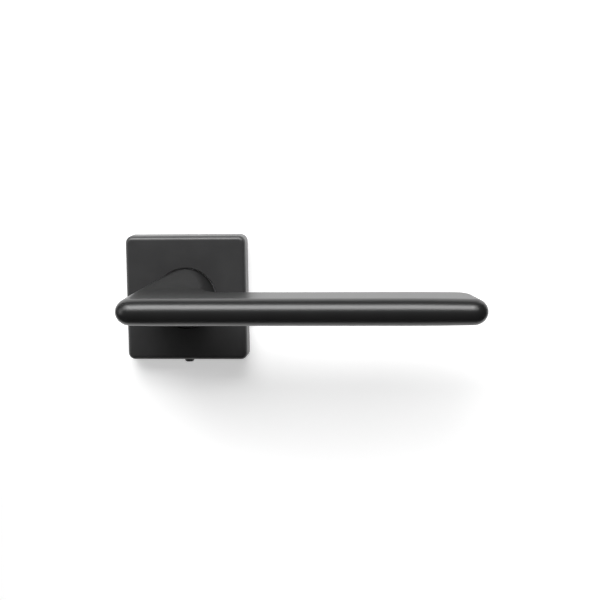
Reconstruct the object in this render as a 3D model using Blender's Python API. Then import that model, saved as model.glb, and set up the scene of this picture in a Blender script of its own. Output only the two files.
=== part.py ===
"""Door lever handle on a square rose, one side of the door.

Frame: the origin is on the spindle's axis in the plane of the door's face. +X runs along the lever towards
its tip, +Z is up, and -Y points away from the door, towards the hand. A "depth" is a distance from the
door's face towards the hand, so a point at depth d has y = -d. Sizes are in metres.
"""
import math

import bmesh
import bpy
from mathutils import Vector

MM = 0.001

# Rose
ROSE_WIDTH = 51.3 * MM
ROSE_HEIGHT = 52.9 * MM
ROSE_DEPTH = 8.5 * MM
ROSE_CORNER = 3.0 * MM
ROSE_EDGE_ROUND = 1.9 * MM
COVER_WALL = 1.2 * MM
COVER_FRONT = 1.5 * MM
COVER_HOLE_RADIUS = 12.95 * MM

# Lever: neck
NECK_RADIUS = 12.5 * MM
NECK_START = 7.75 * MM
FLARE_START = 9.0 * MM
FLARE_END = 49.0 * MM
FLARE_POWER = 3.6
FLARE_SHARE = 0.64
NECK_SLOPE = -0.45
INNER_FILLET = 8.0 * MM

# Lever: grip
GRIP_LEFT = -22.2 * MM
GRIP_RIGHT = 128.4 * MM
GRIP_BACK = 34.0 * MM
GRIP_FRONT = 56.3 * MM
NOSE_RADIUS = 5.6 * MM
BACK_HALF_HEIGHT = 6.4 * MM
BACK_EDGE = 3.0 * MM
BACK_EDGE_AT_TURN = 4.0 * MM
BACK_EDGE_AT_END = 5.0 * MM
LEFT_CORNER = 7.0 * MM
RIGHT_FRONT_CORNER = 6.1 * MM
RIGHT_BACK_CORNER = 9.0 * MM
END_SLANT = math.radians(22.5)
TAPER_RIGHT_START = 95.0 * MM
TAPER_LEFT_START = -5.0 * MM
TAPER = 0.07

# Shank of the lever, inside the rose
SHANK_RADIUS = 7.9 * MM
SHANK_FLAT = 6.7 * MM
SHANK_END = 1.3 * MM
SHANK_FLAT_END = 4.6 * MM
GROOVE_RADIUS = 7.2 * MM
GROOVE_FROM = 1.6 * MM
GROOVE_TO = 2.6 * MM
SHANK_STEP = 0.02 * MM
BORE_SPARE = 0.5 * MM

# Spindle and its set screw
SPINDLE_SIDE = 8.0 * MM
SPINDLE_FIT = 0.15 * MM
SPINDLE_INNER_DEPTH = 27.5 * MM
SPINDLE_REACH = 52.0 * MM
CLIP_GROOVE_FROM = 0.8 * MM
CLIP_GROOVE_TO = 1.8 * MM
CLIP_GROOVE_BOTTOM = 7.4 * MM
SET_SCREW_RADIUS = 2.5 * MM
SET_SCREW_LENGTH = 4.5 * MM
SET_SCREW_DEPTH = 18.0 * MM
SET_SCREW_SOCKET = 2.5 * MM
SET_SCREW_SOCKET_DEPTH = 2.0 * MM
SET_SCREW_POINT = 0.7 * MM
SET_SCREW_GAP = 0.3 * MM

# Base plate
BASE_FIT = 0.2 * MM
BASE_WIDTH = ROSE_WIDTH - 2.0 * (COVER_WALL + BASE_FIT)
BASE_HEIGHT = ROSE_HEIGHT - 2.0 * (COVER_WALL + BASE_FIT)
BASE_DEPTH = 6.7 * MM
BASE_CORNER = 1.6 * MM
RECESS_SIDE = 41.8 * MM
RECESS_DEPTH = 1.1 * MM
CHAMBER_RADIUS = 13.9 * MM
CHAMBER_TOP = 5.2 * MM
LUG_RADIUS = 9.9 * MM
LUG_HALF_ANGLE = math.radians(12.0)
WEB_HOLE_RADIUS = 9.1 * MM
BOLT_SPACING = 38.0 * MM
BOLT_HOLE_RADIUS = 2.2 * MM
SPIGOT_RADIUS = 3.5 * MM
SPIGOT_REACH = 7.0 * MM
CORNER_HOLE_OFFSET = 17.3 * MM
CORNER_HOLE_RADIUS = 2.1 * MM

# Back plate
BACK_PLATE_SIDE = 41.2 * MM
BACK_PLATE_FROM = 0.3 * MM
BACK_PLATE_TO = 1.0 * MM
BACK_PLATE_BORE = 6.6 * MM
BACK_PLATE_SCREW_OFFSET = 17.3 * MM

# Bush, rotor, washer, retaining ring and springs
BUSH_BORE = 8.2 * MM
BUSH_RADIUS = 8.8 * MM
BUSH_FLANGE_RADIUS = 12.3 * MM
BUSH_FROM = 5.25 * MM
BUSH_FLANGE_FROM = 6.95 * MM
BUSH_TO = 7.5 * MM
ROTOR_RADIUS = 9.4 * MM
ROTOR_FROM = 2.7 * MM
ROTOR_TO = 4.5 * MM
ROTOR_CLEARANCE = 0.3 * MM
EAR_FROM = 1.4 * MM
EAR_INNER_RADIUS = 8.9 * MM
EAR_OUTER_RADIUS = 13.5 * MM
EAR_ANGLE = math.radians(15.0)
EAR_GAP = math.radians(1.5)
TOOTH_INSET = 0.02 * MM
TOOTH_INSET_ANGLE = 0.01
TOOTH_OVERLAP = 0.5 * MM
WASHER_RADIUS = 9.5 * MM
WASHER_FROM = 4.65 * MM
WASHER_TO = 5.05 * MM
RING_INNER_RADIUS = 7.35 * MM
RING_OUTER_RADIUS = 9.3 * MM
RING_FROM = 1.7 * MM
RING_TO = 2.5 * MM
RING_GAP = math.radians(70.0)
RING_EYE_RADIUS = 0.5 * MM
RING_EYE_INSET = 0.12
SPRING_PATH_RADIUS = 11.6 * MM
SPRING_DEPTH = 3.05 * MM
SPRING_COIL_RADIUS = 1.2 * MM
SPRING_WIRE_RADIUS = 0.3 * MM
SPRING_TURNS = 8
SPRING_STEPS_PER_TURN = 12
SPRING_WIRE_SIDES = 5
SPRING_PROBE = 0.001

# Screws
THROUGH_BOLT = {"head": 3.75 * MM, "cone": 1.9 * MM, "shank": 1.95 * MM, "length": 50.0 * MM,
                "tip": 0.6 * MM, "tip_radius": 1.5 * MM, "socket": 2.5 * MM, "socket_depth": 1.3 * MM}
WOOD_SCREW = {"head": 3.6 * MM, "cone": 2.0 * MM, "shank": 1.7 * MM, "length": 25.0 * MM,
              "tip": 4.0 * MM, "tip_radius": 0.3 * MM, "socket": 2.0 * MM, "socket_depth": 1.2 * MM}
PLATE_SCREW = {"head": 2.2 * MM, "cone": 1.1 * MM, "shank": 1.1 * MM, "length": 4.2 * MM,
               "tip": 0.3 * MM, "tip_radius": 0.8 * MM, "socket": 1.3 * MM, "socket_depth": 0.6 * MM}
SCREW_CLEARANCE = 0.25 * MM
HEAD_RIM = 0.15 * MM
COVER_SCREW_RADIUS = 1.95 * MM
COVER_SCREW_DEPTH = 3.1 * MM
COVER_SCREW_STANDS_OUT = 1.4 * MM
COVER_SCREW_LENGTH = 6.2 * MM
COVER_SCREW_CHAMFER = 0.4 * MM
COVER_SCREW_SOCKET = 2.0 * MM
COVER_SCREW_SOCKET_DEPTH = 1.6 * MM

# Fineness of the round shapes
ROUND_STEPS = 32
SMALL_STEPS = 16
TINY_STEPS = 8
CORNER_STEPS = 5
EDGE_STEPS = 4
SIDE_STEPS = 10
TOP_POINTS = 2
REACH_PASSES = 3
SMOOTH_ANGLE = math.radians(35.0)
OVERCUT = 1.0 * MM

BLACK_COAT = ("black_coat", (0.040, 0.040, 0.042), 0.42, 0.0)
ZINC = ("cast_zinc", (0.50, 0.50, 0.51), 0.45, 1.0)
STEEL = ("zinc_plated_steel", (0.62, 0.62, 0.60), 0.32, 1.0)
SPRING_STEEL = ("spring_steel", (0.30, 0.31, 0.33), 0.28, 1.0)
NYLON = ("nylon", (0.78, 0.77, 0.72), 0.50, 0.0)
BLACK_STEEL = ("black_oxide_steel", (0.035, 0.035, 0.038), 0.36, 1.0)


# ---------------------------------------------------------------------------------------------- basics

def clear_scene():
    for obj in list(bpy.data.objects):
        bpy.data.objects.remove(obj, do_unlink=True)


def material(finish):
    name, colour, roughness, metallic = finish
    found = bpy.data.materials.get(name)
    if found:
        return found
    made = bpy.data.materials.new(name)
    made.use_nodes = True
    shader = made.node_tree.nodes["Principled BSDF"]
    shader.inputs["Base Color"].default_value = (*colour, 1.0)
    shader.inputs["Roughness"].default_value = roughness
    shader.inputs["Metallic"].default_value = metallic
    made.diffuse_color = (*colour, 1.0)
    return made


def object_from(bm, name, finish=None):
    """An object from a bmesh, with its normals turned out and its round faces smooth."""
    bmesh.ops.recalc_face_normals(bm, faces=bm.faces)
    mesh = bpy.data.meshes.new(name)
    bm.to_mesh(mesh)
    bm.free()
    mesh.shade_smooth()
    mesh.set_sharp_from_angle(angle=SMOOTH_ANGLE)
    obj = bpy.data.objects.new(name, mesh)
    bpy.context.scene.collection.objects.link(obj)
    if finish:
        mesh.materials.append(material(finish))
    return obj


def as_cutter(obj):
    obj.hide_render = True
    obj.display_type = "WIRE"
    return obj


def combine(obj, other, operation):
    modifier = obj.modifiers.new(f"{operation.lower()} {other.name}", "BOOLEAN")
    modifier.operation = operation
    modifier.solver = "EXACT"
    modifier.object = as_cutter(other)


def cut(obj, *cutters):
    for cutter in cutters:
        combine(obj, cutter, "DIFFERENCE")


def join(obj, *others):
    for other in others:
        combine(obj, other, "UNION")


# --------------------------------------------------------------------------------------------- outlines

def circle(radius, steps=ROUND_STEPS):
    """Points (x, z) of a circle about the origin."""
    turns = [2.0 * math.pi * (i + 0.5) / steps for i in range(steps)]
    return [(radius * math.cos(a), radius * math.sin(a)) for a in turns]


def arc(radius, start, end, steps):
    """Points (x, z) along an arc about the origin, both ends included."""
    turns = [start + (end - start) * i / steps for i in range(steps + 1)]
    return [(radius * math.cos(a), radius * math.sin(a)) for a in turns]


def rounded(width, height, corner):
    """Points (x, z) of a rectangle with round corners, about the origin."""
    points = []
    for quarter in range(4):
        start = quarter * math.pi / 2.0
        middle = start + math.pi / 4.0
        cx = math.copysign(width / 2.0 - corner, math.cos(middle))
        cz = math.copysign(height / 2.0 - corner, math.sin(middle))
        for x, z in arc(corner, start, start + math.pi / 2.0, CORNER_STEPS):
            points.append((cx + x, cz + z))
    return points


def double_d(radius, flat):
    """Points (x, z) of a circle with a flat at the top and at the bottom."""
    angle = math.asin(flat / radius)
    right = arc(radius, -angle, angle, SMALL_STEPS)
    left = arc(radius, math.pi - angle, math.pi + angle, SMALL_STEPS)
    return right + left


def regular(across_flats, sides):
    """Points (x, z) of a regular polygon, such as a hexagon socket."""
    return circle(across_flats / 2.0 / math.cos(math.pi / sides), sides)


def chamber_outline():
    """The spring chamber: a circle that steps in to two lugs, above and below the axis."""
    points = []
    quarter = math.pi / 2.0
    for middle in (0.0, math.pi):
        start = middle - quarter + LUG_HALF_ANGLE
        end = middle + quarter - LUG_HALF_ANGLE
        points += arc(CHAMBER_RADIUS, start, end, SMALL_STEPS)
        points += arc(LUG_RADIUS, end, end + 2.0 * LUG_HALF_ANGLE, EDGE_STEPS)
    return points


def ring_sector(inner, outer, start, end, steps):
    return arc(outer, start, end, steps) + arc(inner, end, start, steps)


# ----------------------------------------------------------------------------------------------- solids

def loft(bm, sections):
    """Skins closed loops of equal length, and closes the first and the last."""
    loops = [[bm.verts.new(point) for point in section] for section in sections]
    count = len(loops[0])
    for lower, upper in zip(loops, loops[1:]):
        for i in range(count):
            j = (i + 1) % count
            bm.faces.new((lower[i], lower[j], upper[j], upper[i]))
    bm.faces.new(loops[0])
    bm.faces.new(loops[-1])
    return loops


def prism(name, outline, depth_from, depth_to, finish=None):
    """An outline in X and Z, extruded between two depths."""
    bm = bmesh.new()
    sections = [[Vector((x, -depth, z)) for x, z in outline] for depth in (depth_from, depth_to)]
    loft(bm, sections)
    return object_from(bm, name, finish)


def lathe(bm, profile, steps=ROUND_STEPS):
    """A solid of revolution about the spindle's axis, from (radius, depth) points that close a loop."""
    rings = []
    for radius, depth in profile:
        rings.append([bm.verts.new((x, -depth, z)) for x, z in circle(radius, steps)])
    for lower, upper in zip(rings, rings[1:] + rings[:1]):
        for i in range(steps):
            j = (i + 1) % steps
            bm.faces.new((lower[i], lower[j], upper[j], upper[i]))


def turned(name, profile, finish, steps=ROUND_STEPS):
    bm = bmesh.new()
    lathe(bm, profile, steps)
    return object_from(bm, name, finish)


def rod(name, radii, finish=None, steps=SMALL_STEPS):
    """A round bar along -Y from (radius, depth) points, closed at both ends."""
    bm = bmesh.new()
    loft(bm, [[Vector((x, -depth, z)) for x, z in circle(radius, steps)] for radius, depth in radii])
    return object_from(bm, name, finish)


def place(obj, x=0.0, depth=0.0, z=0.0):
    obj.location = (x, -depth, z)
    return obj


# ------------------------------------------------------------------------------------------------ lever

def half_height(depth):
    """Half the lever's height at a depth: round at the rose, then a slim wedge towards its nose."""
    nose_centre = GRIP_FRONT - NOSE_RADIUS
    grip_slope = (NOSE_RADIUS - BACK_HALF_HEIGHT) / (nose_centre - GRIP_BACK)
    if depth <= FLARE_START:
        return NECK_RADIUS
    if depth >= nose_centre:
        return NOSE_RADIUS
    if depth >= GRIP_BACK:
        return BACK_HALF_HEIGHT + grip_slope * (depth - GRIP_BACK)
    span = GRIP_BACK - FLARE_START
    t = (depth - FLARE_START) / span
    ease = 3.0 * t**2 - 2.0 * t**3
    start_pull = (t**3 - 2.0 * t**2 + t) * span * NECK_SLOPE
    end_pull = (t**3 - t**2) * span * grip_slope
    return NECK_RADIUS + (BACK_HALF_HEIGHT - NECK_RADIUS) * ease + start_pull + end_pull


def left_side(depth):
    """The x of the lever's left side, which flares out of the round neck, then runs on to the grip's end."""
    t = min(max((depth - FLARE_START) / (FLARE_END - FLARE_START), 0.0), 1.0)
    flared = FLARE_SHARE * (1.0 - (1.0 - t)**FLARE_POWER) + (1.0 - FLARE_SHARE) * t
    return -NECK_RADIUS + (GRIP_LEFT + NECK_RADIUS) * flared


def round_side(edge, normal, reach):
    """A half-ellipse over a plan edge point, from the top down, as (x, depth, z) points."""
    centre = edge - normal * reach
    height = half_height(centre.y)
    points = []
    for i in range(SIDE_STEPS + 1):
        turn = math.pi / 2.0 - math.pi * i / SIDE_STEPS
        plan = centre + normal * reach * math.cos(turn)
        points.append(Vector((plan.x, -plan.y, height * math.sin(turn))))
    return points


def across(start, end, side):
    """Points between two plan places on the lever's top (side 1) or underside (side -1)."""
    points = []
    for i in range(1, TOP_POINTS + 1):
        between = start.lerp(end, i / (TOP_POINTS + 1))
        points.append(Vector((between.x, between.y, side * half_height(-between.y))))
    return points


def lever_section(outer, outer_normal, inner, inner_normal, inner_reach):
    """One loop round the lever: down its outer side, back along the underside, up its inner side."""
    reach = half_height(outer.y)
    for _ in range(REACH_PASSES):
        reach = half_height((outer - outer_normal * reach).y)
    outer_side = round_side(outer, outer_normal, reach)
    inner_side = round_side(inner, inner_normal, inner_reach)
    inner_side.reverse()
    underside = across(outer_side[-1], inner_side[0], -1)
    top = across(inner_side[-1], outer_side[0], 1)
    return outer_side + underside + inner_side + top


def neck_sections(steps):
    """Sections square to the spindle's axis, from inside the rose to the start of the inner corner."""
    turn_start = GRIP_BACK - INNER_FILLET
    flare = turn_start - FLARE_START
    depths = [NECK_START] + [FLARE_START + flare * i / steps for i in range(steps + 1)]
    sections = []
    for depth in depths:
        t = max((depth - FLARE_START) / flare, 0.0)
        inner_reach = half_height(depth) * (1.0 - t) + BACK_EDGE_AT_TURN * t
        outer = Vector((left_side(depth), depth))
        inner = Vector((NECK_RADIUS, depth))
        sections.append(lever_section(outer, Vector((-1, 0)), inner, Vector((1, 0)), inner_reach))
    return sections


def turn_outer_path(side_steps, corner_steps, front_steps):
    """The lever's outer edge from the neck's left side, round the left corner, to the front."""
    path = []
    turn_start = GRIP_BACK - INNER_FILLET
    corner_start = GRIP_FRONT - LEFT_CORNER
    for i in range(1, side_steps):
        depth = turn_start + (corner_start - turn_start) * i / side_steps
        path.append((Vector((left_side(depth), depth)), Vector((-1, 0))))
    centre = Vector((GRIP_LEFT + LEFT_CORNER, corner_start))
    for i in range(corner_steps + 1):
        turn = math.pi / 2.0 * i / corner_steps
        normal = Vector((-math.cos(turn), math.sin(turn)))
        path.append((centre + normal * LEFT_CORNER, normal))
    front_end = NECK_RADIUS + INNER_FILLET
    for i in range(1, front_steps + 1):
        x = centre.x + (front_end - centre.x) * i / front_steps
        path.append((Vector((x, GRIP_FRONT)), Vector((0, 1))))
    return path


def turn_sections():
    """Sections that swing round the inner corner, from across the neck to across the grip."""
    outer_path = turn_outer_path(side_steps=5, corner_steps=6, front_steps=4)
    centre = Vector((NECK_RADIUS + INNER_FILLET, GRIP_BACK - INNER_FILLET))
    sections = []
    for i, (outer, outer_normal) in enumerate(outer_path, start=1):
        t = i / len(outer_path)
        turn = math.pi - math.pi / 2.0 * t
        away = Vector((math.cos(turn), math.sin(turn)))
        inner = centre + away * INNER_FILLET
        inner_reach = BACK_EDGE + (BACK_EDGE_AT_TURN - BACK_EDGE) * (1.0 - t)
        sections.append(lever_section(outer, outer_normal, inner, -away, inner_reach))
    return sections


def end_centres():
    """Plan centres of the grip's right corners, either side of an end that slants back."""
    front = Vector((GRIP_RIGHT - RIGHT_FRONT_CORNER, GRIP_FRONT - RIGHT_FRONT_CORNER))
    slant = Vector((math.cos(END_SLANT), -math.sin(END_SLANT)))
    end_line = front.dot(slant) + RIGHT_FRONT_CORNER
    back_depth = GRIP_BACK + RIGHT_BACK_CORNER
    back_x = (end_line - RIGHT_BACK_CORNER - slant.y * back_depth) / slant.x
    return front, Vector((back_x, back_depth))


def grip_sections(steps):
    """Sections along the grip, then round its right end."""
    sections = []
    front_centre, back_centre = end_centres()
    straight_from = NECK_RADIUS + INNER_FILLET
    for i in range(1, steps + 1):
        t = i / steps
        outer = Vector((straight_from + (front_centre.x - straight_from) * t, GRIP_FRONT))
        inner = Vector((straight_from + (back_centre.x - straight_from) * t, GRIP_BACK))
        sections.append(lever_section(outer, Vector((0, 1)), inner, Vector((0, -1)), BACK_EDGE))
    for i in range(1, SIDE_STEPS + 1):
        t = i / SIDE_STEPS
        front_turn = (math.pi / 2.0 + END_SLANT) * t
        back_turn = (math.pi / 2.0 - END_SLANT) * t
        outer_normal = Vector((math.sin(front_turn), math.cos(front_turn)))
        inner_normal = Vector((math.sin(back_turn), -math.cos(back_turn)))
        outer = front_centre + outer_normal * RIGHT_FRONT_CORNER
        inner = back_centre + inner_normal * RIGHT_BACK_CORNER
        inner_reach = BACK_EDGE + (BACK_EDGE_AT_END - BACK_EDGE) * t
        sections.append(lever_section(outer, outer_normal, inner, inner_normal, inner_reach))
    return sections


def thinned(sections):
    """The same sections, pressed a little flatter towards the grip's two tips."""
    turn_start = GRIP_BACK - INNER_FILLET
    for section in sections:
        for point in section:
            past_right = max(point.x - TAPER_RIGHT_START, 0.0) / (GRIP_RIGHT - TAPER_RIGHT_START)
            past_left = max(TAPER_LEFT_START - point.x, 0.0) / (TAPER_LEFT_START - GRIP_LEFT)
            past_neck = min(max((-point.y - turn_start) / (FLARE_END - turn_start), 0.0), 1.0)
            point.z *= 1.0 - TAPER * (past_right**2 + past_neck * past_left**2)
    return sections


def lever_body():
    """The neck and grip: sections from the rose to the grip's end, with a rounded end face."""
    bm = bmesh.new()
    sections = neck_sections(steps=8) + thinned(turn_sections() + grip_sections(steps=6))
    loops = [[bm.verts.new(point) for point in section] for section in sections]
    count = len(loops[0])
    for lower, upper in zip(loops, loops[1:]):
        for i in range(count):
            j = (i + 1) % count
            bm.faces.new((lower[i], lower[j], upper[j], upper[i]))
    bm.faces.new(loops[0])
    close_grip_end(bm, loops[-1])
    return object_from(bm, "lever", BLACK_COAT)


def close_grip_end(bm, loop):
    """Strips between the two round sides of the last section, which face each other across the end."""
    side = SIDE_STEPS + 1
    outer = loop[:side]
    underside = loop[side:side + TOP_POINTS]
    inner = loop[side + TOP_POINTS:2 * side + TOP_POINTS]
    top = loop[2 * side + TOP_POINTS:]
    inner.reverse()
    bm.faces.new([outer[1], outer[0], *reversed(top), inner[0], inner[1]])
    for i in range(1, SIDE_STEPS - 1):
        bm.faces.new((outer[i], outer[i + 1], inner[i + 1], inner[i]))
    bm.faces.new([outer[-2], outer[-1], *underside, inner[-1], inner[-2]])


def make_lever():
    lever = lever_body()
    shank = prism("shank", circle(SHANK_RADIUS), SHANK_FLAT_END, NECK_START + OVERCUT)
    flat_outline = double_d(SHANK_RADIUS - SHANK_STEP, SHANK_FLAT)
    flats = prism("shank_flats", flat_outline, SHANK_END, SHANK_FLAT_END + OVERCUT)
    join(lever, shank, flats)
    bore_side = SPINDLE_SIDE + 2.0 * SPINDLE_FIT
    bore_end = SPINDLE_INNER_DEPTH + BORE_SPARE
    bore = prism("spindle_bore", regular(bore_side, 4), SHANK_END - OVERCUT, bore_end)
    groove = bmesh.new()
    lathe(groove, [(GROOVE_RADIUS, GROOVE_FROM), (SHANK_RADIUS + OVERCUT, GROOVE_FROM),
                   (SHANK_RADIUS + OVERCUT, GROOVE_TO), (GROOVE_RADIUS, GROOVE_TO)])
    groove_cutter = object_from(groove, "ring_groove")
    hole_radius = SET_SCREW_RADIUS + SCREW_CLEARANCE
    set_screw_hole = rod("set_screw_hole", [(hole_radius, 0.0), (hole_radius, NECK_RADIUS)])
    set_screw_hole.rotation_euler.x = math.pi / 2.0
    place(set_screw_hole, 0.0, SET_SCREW_DEPTH, 0.0)
    cut(lever, bore, groove_cutter, set_screw_hole)
    return lever


def make_spindle():
    """The square bar, with a shallow groove all round it for a clip, just inside the door."""
    spindle = prism("spindle", regular(SPINDLE_SIDE, 4), -SPINDLE_REACH, SPINDLE_INNER_DEPTH, STEEL)
    around = prism("clip_groove", regular(SPINDLE_SIDE + OVERCUT, 4), -CLIP_GROOVE_TO, -CLIP_GROOVE_FROM)
    core = prism("clip_groove_core", regular(CLIP_GROOVE_BOTTOM, 4), -CLIP_GROOVE_TO - OVERCUT, OVERCUT)
    cut(around, core)
    cut(spindle, around)
    return spindle


def make_set_screw():
    """The screw in the neck's underside, whose tip holds the spindle."""
    top = -(SPINDLE_SIDE / 2.0 + SET_SCREW_GAP)
    outline = [(SET_SCREW_RADIUS - SET_SCREW_POINT, 0.0), (SET_SCREW_RADIUS, SET_SCREW_POINT),
               (SET_SCREW_RADIUS, SET_SCREW_LENGTH)]
    screw = rod("spindle_set_screw", outline, BLACK_STEEL)
    socket_from = SET_SCREW_LENGTH - SET_SCREW_SOCKET_DEPTH
    socket = prism("set_screw_socket", regular(SET_SCREW_SOCKET, 6), socket_from, SET_SCREW_LENGTH + OVERCUT)
    for obj in (screw, socket):
        obj.rotation_euler.x = math.pi / 2.0
        place(obj, 0.0, SET_SCREW_DEPTH, top)
    cut(screw, socket)
    return screw


# ----------------------------------------------------------------------------------------- rose, outside

def rose_outline(inset):
    """The rose's outline, drawn in by an even margin."""
    return rounded(ROSE_WIDTH - 2.0 * inset, ROSE_HEIGHT - 2.0 * inset, ROSE_CORNER - inset)


def make_cover():
    """A flat cap with a rounded front edge, hollow behind, with a round hole for the neck."""
    bm = bmesh.new()
    loops = []
    inside = rose_outline(COVER_WALL)
    for depth in (ROSE_DEPTH - COVER_FRONT, 0.0):
        loops.append([Vector((x, -depth, z)) for x, z in inside])
    loops.append([Vector((x, 0.0, z)) for x, z in rose_outline(0.0)])
    for i in range(EDGE_STEPS + 1):
        turn = math.pi / 2.0 * i / EDGE_STEPS
        inset = ROSE_EDGE_ROUND * (1.0 - math.cos(turn))
        depth = ROSE_DEPTH - ROSE_EDGE_ROUND * (1.0 - math.sin(turn))
        loops.append([Vector((x, -depth, z)) for x, z in rose_outline(inset)])
    loft(bm, loops)
    cover = object_from(bm, "cover_rose", BLACK_COAT)
    hole_from = ROSE_DEPTH - 2.0 * COVER_FRONT
    neck_hole = prism("neck_hole", circle(COVER_HOLE_RADIUS), hole_from, ROSE_DEPTH + OVERCUT)
    screw_hole = upward_hole("cover_screw_hole", COVER_SCREW_RADIUS + SCREW_CLEARANCE, COVER_WALL + OVERCUT)
    cut(cover, neck_hole, screw_hole)
    return cover


def upward_hole(name, radius, height):
    """A round cutter that rises from just under the rose's bottom edge, at the cover screw."""
    hole = rod(name, [(radius, 0.0), (radius, height + OVERCUT)])
    hole.rotation_euler.x = -math.pi / 2.0
    return place(hole, 0.0, COVER_SCREW_DEPTH, -ROSE_HEIGHT / 2.0 - OVERCUT)


def make_cover_screw():
    """The screw in the rose's bottom edge that holds the cover on the base plate."""
    chamfer = COVER_SCREW_CHAMFER
    radius = COVER_SCREW_RADIUS
    length = COVER_SCREW_LENGTH
    outline = [(radius - chamfer, 0.0), (radius, chamfer),
               (radius, length - chamfer), (radius - chamfer, length)]
    screw = rod("cover_screw", outline, BLACK_STEEL)
    socket = prism("cover_screw_socket", regular(COVER_SCREW_SOCKET, 6), -OVERCUT, COVER_SCREW_SOCKET_DEPTH)
    for obj in (screw, socket):
        obj.rotation_euler.x = -math.pi / 2.0
        place(obj, 0.0, COVER_SCREW_DEPTH, -ROSE_HEIGHT / 2.0 - COVER_SCREW_STANDS_OUT)
    cut(screw, socket)
    return screw


# ------------------------------------------------------------------------------------------ rose, inside

def bolt_places():
    return {"left": -BOLT_SPACING / 2.0, "right": BOLT_SPACING / 2.0}


def corner_places():
    offset = CORNER_HOLE_OFFSET
    return {"upper_left": (-offset, offset), "upper_right": (offset, offset),
            "lower_left": (-offset, -offset), "lower_right": (offset, -offset)}


def countersunk_hole(name, screw, radius, depth_to):
    """A cutter for a countersunk hole whose cone opens towards the hand at depth_to."""
    head = screw["head"] + SCREW_CLEARANCE
    cone_start = depth_to - screw["cone"] - SCREW_CLEARANCE
    reach = SPIGOT_REACH + OVERCUT
    return rod(name, [(radius, -reach), (radius, cone_start), (head, depth_to), (head, depth_to + OVERCUT)])


def make_base_plate():
    """The cast plate that is screwed to the door and carries the bush, the springs and the cover."""
    base = prism("base_plate", rounded(BASE_WIDTH, BASE_HEIGHT, BASE_CORNER), 0.0, BASE_DEPTH, ZINC)
    recess = prism("plate_recess", rounded(RECESS_SIDE, RECESS_SIDE, BASE_CORNER), -OVERCUT, RECESS_DEPTH)
    chamber = prism("spring_chamber", chamber_outline(), 0.0, CHAMBER_TOP)
    web_hole = prism("web_hole", circle(WEB_HOLE_RADIUS), 0.0, BASE_DEPTH + OVERCUT)
    cut(base, recess, chamber, web_hole)
    for side, x in bolt_places().items():
        outline = [(SPIGOT_RADIUS, -SPIGOT_REACH), (SPIGOT_RADIUS, RECESS_DEPTH + OVERCUT)]
        join(base, place(rod(f"spigot_{side}", outline), x))
    for side, x in bolt_places().items():
        hole = countersunk_hole(f"bolt_hole_{side}", THROUGH_BOLT, BOLT_HOLE_RADIUS, BASE_DEPTH)
        cut(base, place(hole, x))
    for corner, (x, z) in corner_places().items():
        hole = countersunk_hole(f"corner_hole_{corner}", WOOD_SCREW, CORNER_HOLE_RADIUS, BASE_DEPTH)
        cut(base, place(hole, x, 0.0, z))
    for side, z in plate_screw_places().items():
        hole = plate_screw_hole(f"plate_thread_{side}", PLATE_SCREW["length"] + OVERCUT)
        cut(base, place(hole, 0.0, 0.0, z))
    screw_hole = upward_hole("cover_screw_thread", COVER_SCREW_RADIUS + SCREW_CLEARANCE, COVER_SCREW_LENGTH)
    cut(base, screw_hole)
    return base


def plate_screw_places():
    return {"top": BACK_PLATE_SCREW_OFFSET, "bottom": -BACK_PLATE_SCREW_OFFSET}


def plate_screw_hole(name, length):
    """A cutter for a small countersunk hole whose cone opens towards the door."""
    head = PLATE_SCREW["head"] + SCREW_CLEARANCE
    radius = PLATE_SCREW["shank"] + SCREW_CLEARANCE
    cone_end = BACK_PLATE_FROM + PLATE_SCREW["cone"]
    return rod(name, [(head, -OVERCUT), (head, BACK_PLATE_FROM), (radius, cone_end), (radius, length)])


def make_back_plate():
    """The steel sheet that closes the spring chamber on the door's side."""
    outline = rounded(BACK_PLATE_SIDE, BACK_PLATE_SIDE, BASE_CORNER)
    plate = prism("back_plate", outline, BACK_PLATE_FROM, BACK_PLATE_TO, STEEL)
    cut(plate, prism("plate_bore", circle(BACK_PLATE_BORE), -OVERCUT, BACK_PLATE_TO + OVERCUT))
    for side, x in bolt_places().items():
        radius = SPIGOT_RADIUS + SCREW_CLEARANCE
        notch = rod(f"plate_notch_{side}", [(radius, -OVERCUT), (radius, BACK_PLATE_TO + OVERCUT)])
        cut(plate, place(notch, x))
    for corner, (x, z) in corner_places().items():
        outline = [(CORNER_HOLE_RADIUS, -OVERCUT), (CORNER_HOLE_RADIUS, BACK_PLATE_TO + OVERCUT)]
        cut(plate, place(rod(f"plate_hole_{corner}", outline), x, 0.0, z))
    for side, z in plate_screw_places().items():
        cut(plate, place(plate_screw_hole(f"plate_sink_{side}", 2.0 * OVERCUT), 0.0, 0.0, z))
    return plate


def make_bush():
    profile = [(BUSH_BORE, BUSH_FROM), (BUSH_RADIUS, BUSH_FROM), (BUSH_RADIUS, BUSH_FLANGE_FROM),
               (BUSH_FLANGE_RADIUS, BUSH_FLANGE_FROM), (BUSH_FLANGE_RADIUS, BUSH_TO), (BUSH_BORE, BUSH_TO)]
    return turned("bearing_bush", profile, NYLON)


def make_washer():
    profile = [(BUSH_BORE, WASHER_FROM), (WASHER_RADIUS, WASHER_FROM), (WASHER_RADIUS, WASHER_TO),
               (BUSH_BORE, WASHER_TO)]
    return turned("thrust_washer", profile, NYLON)


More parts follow.
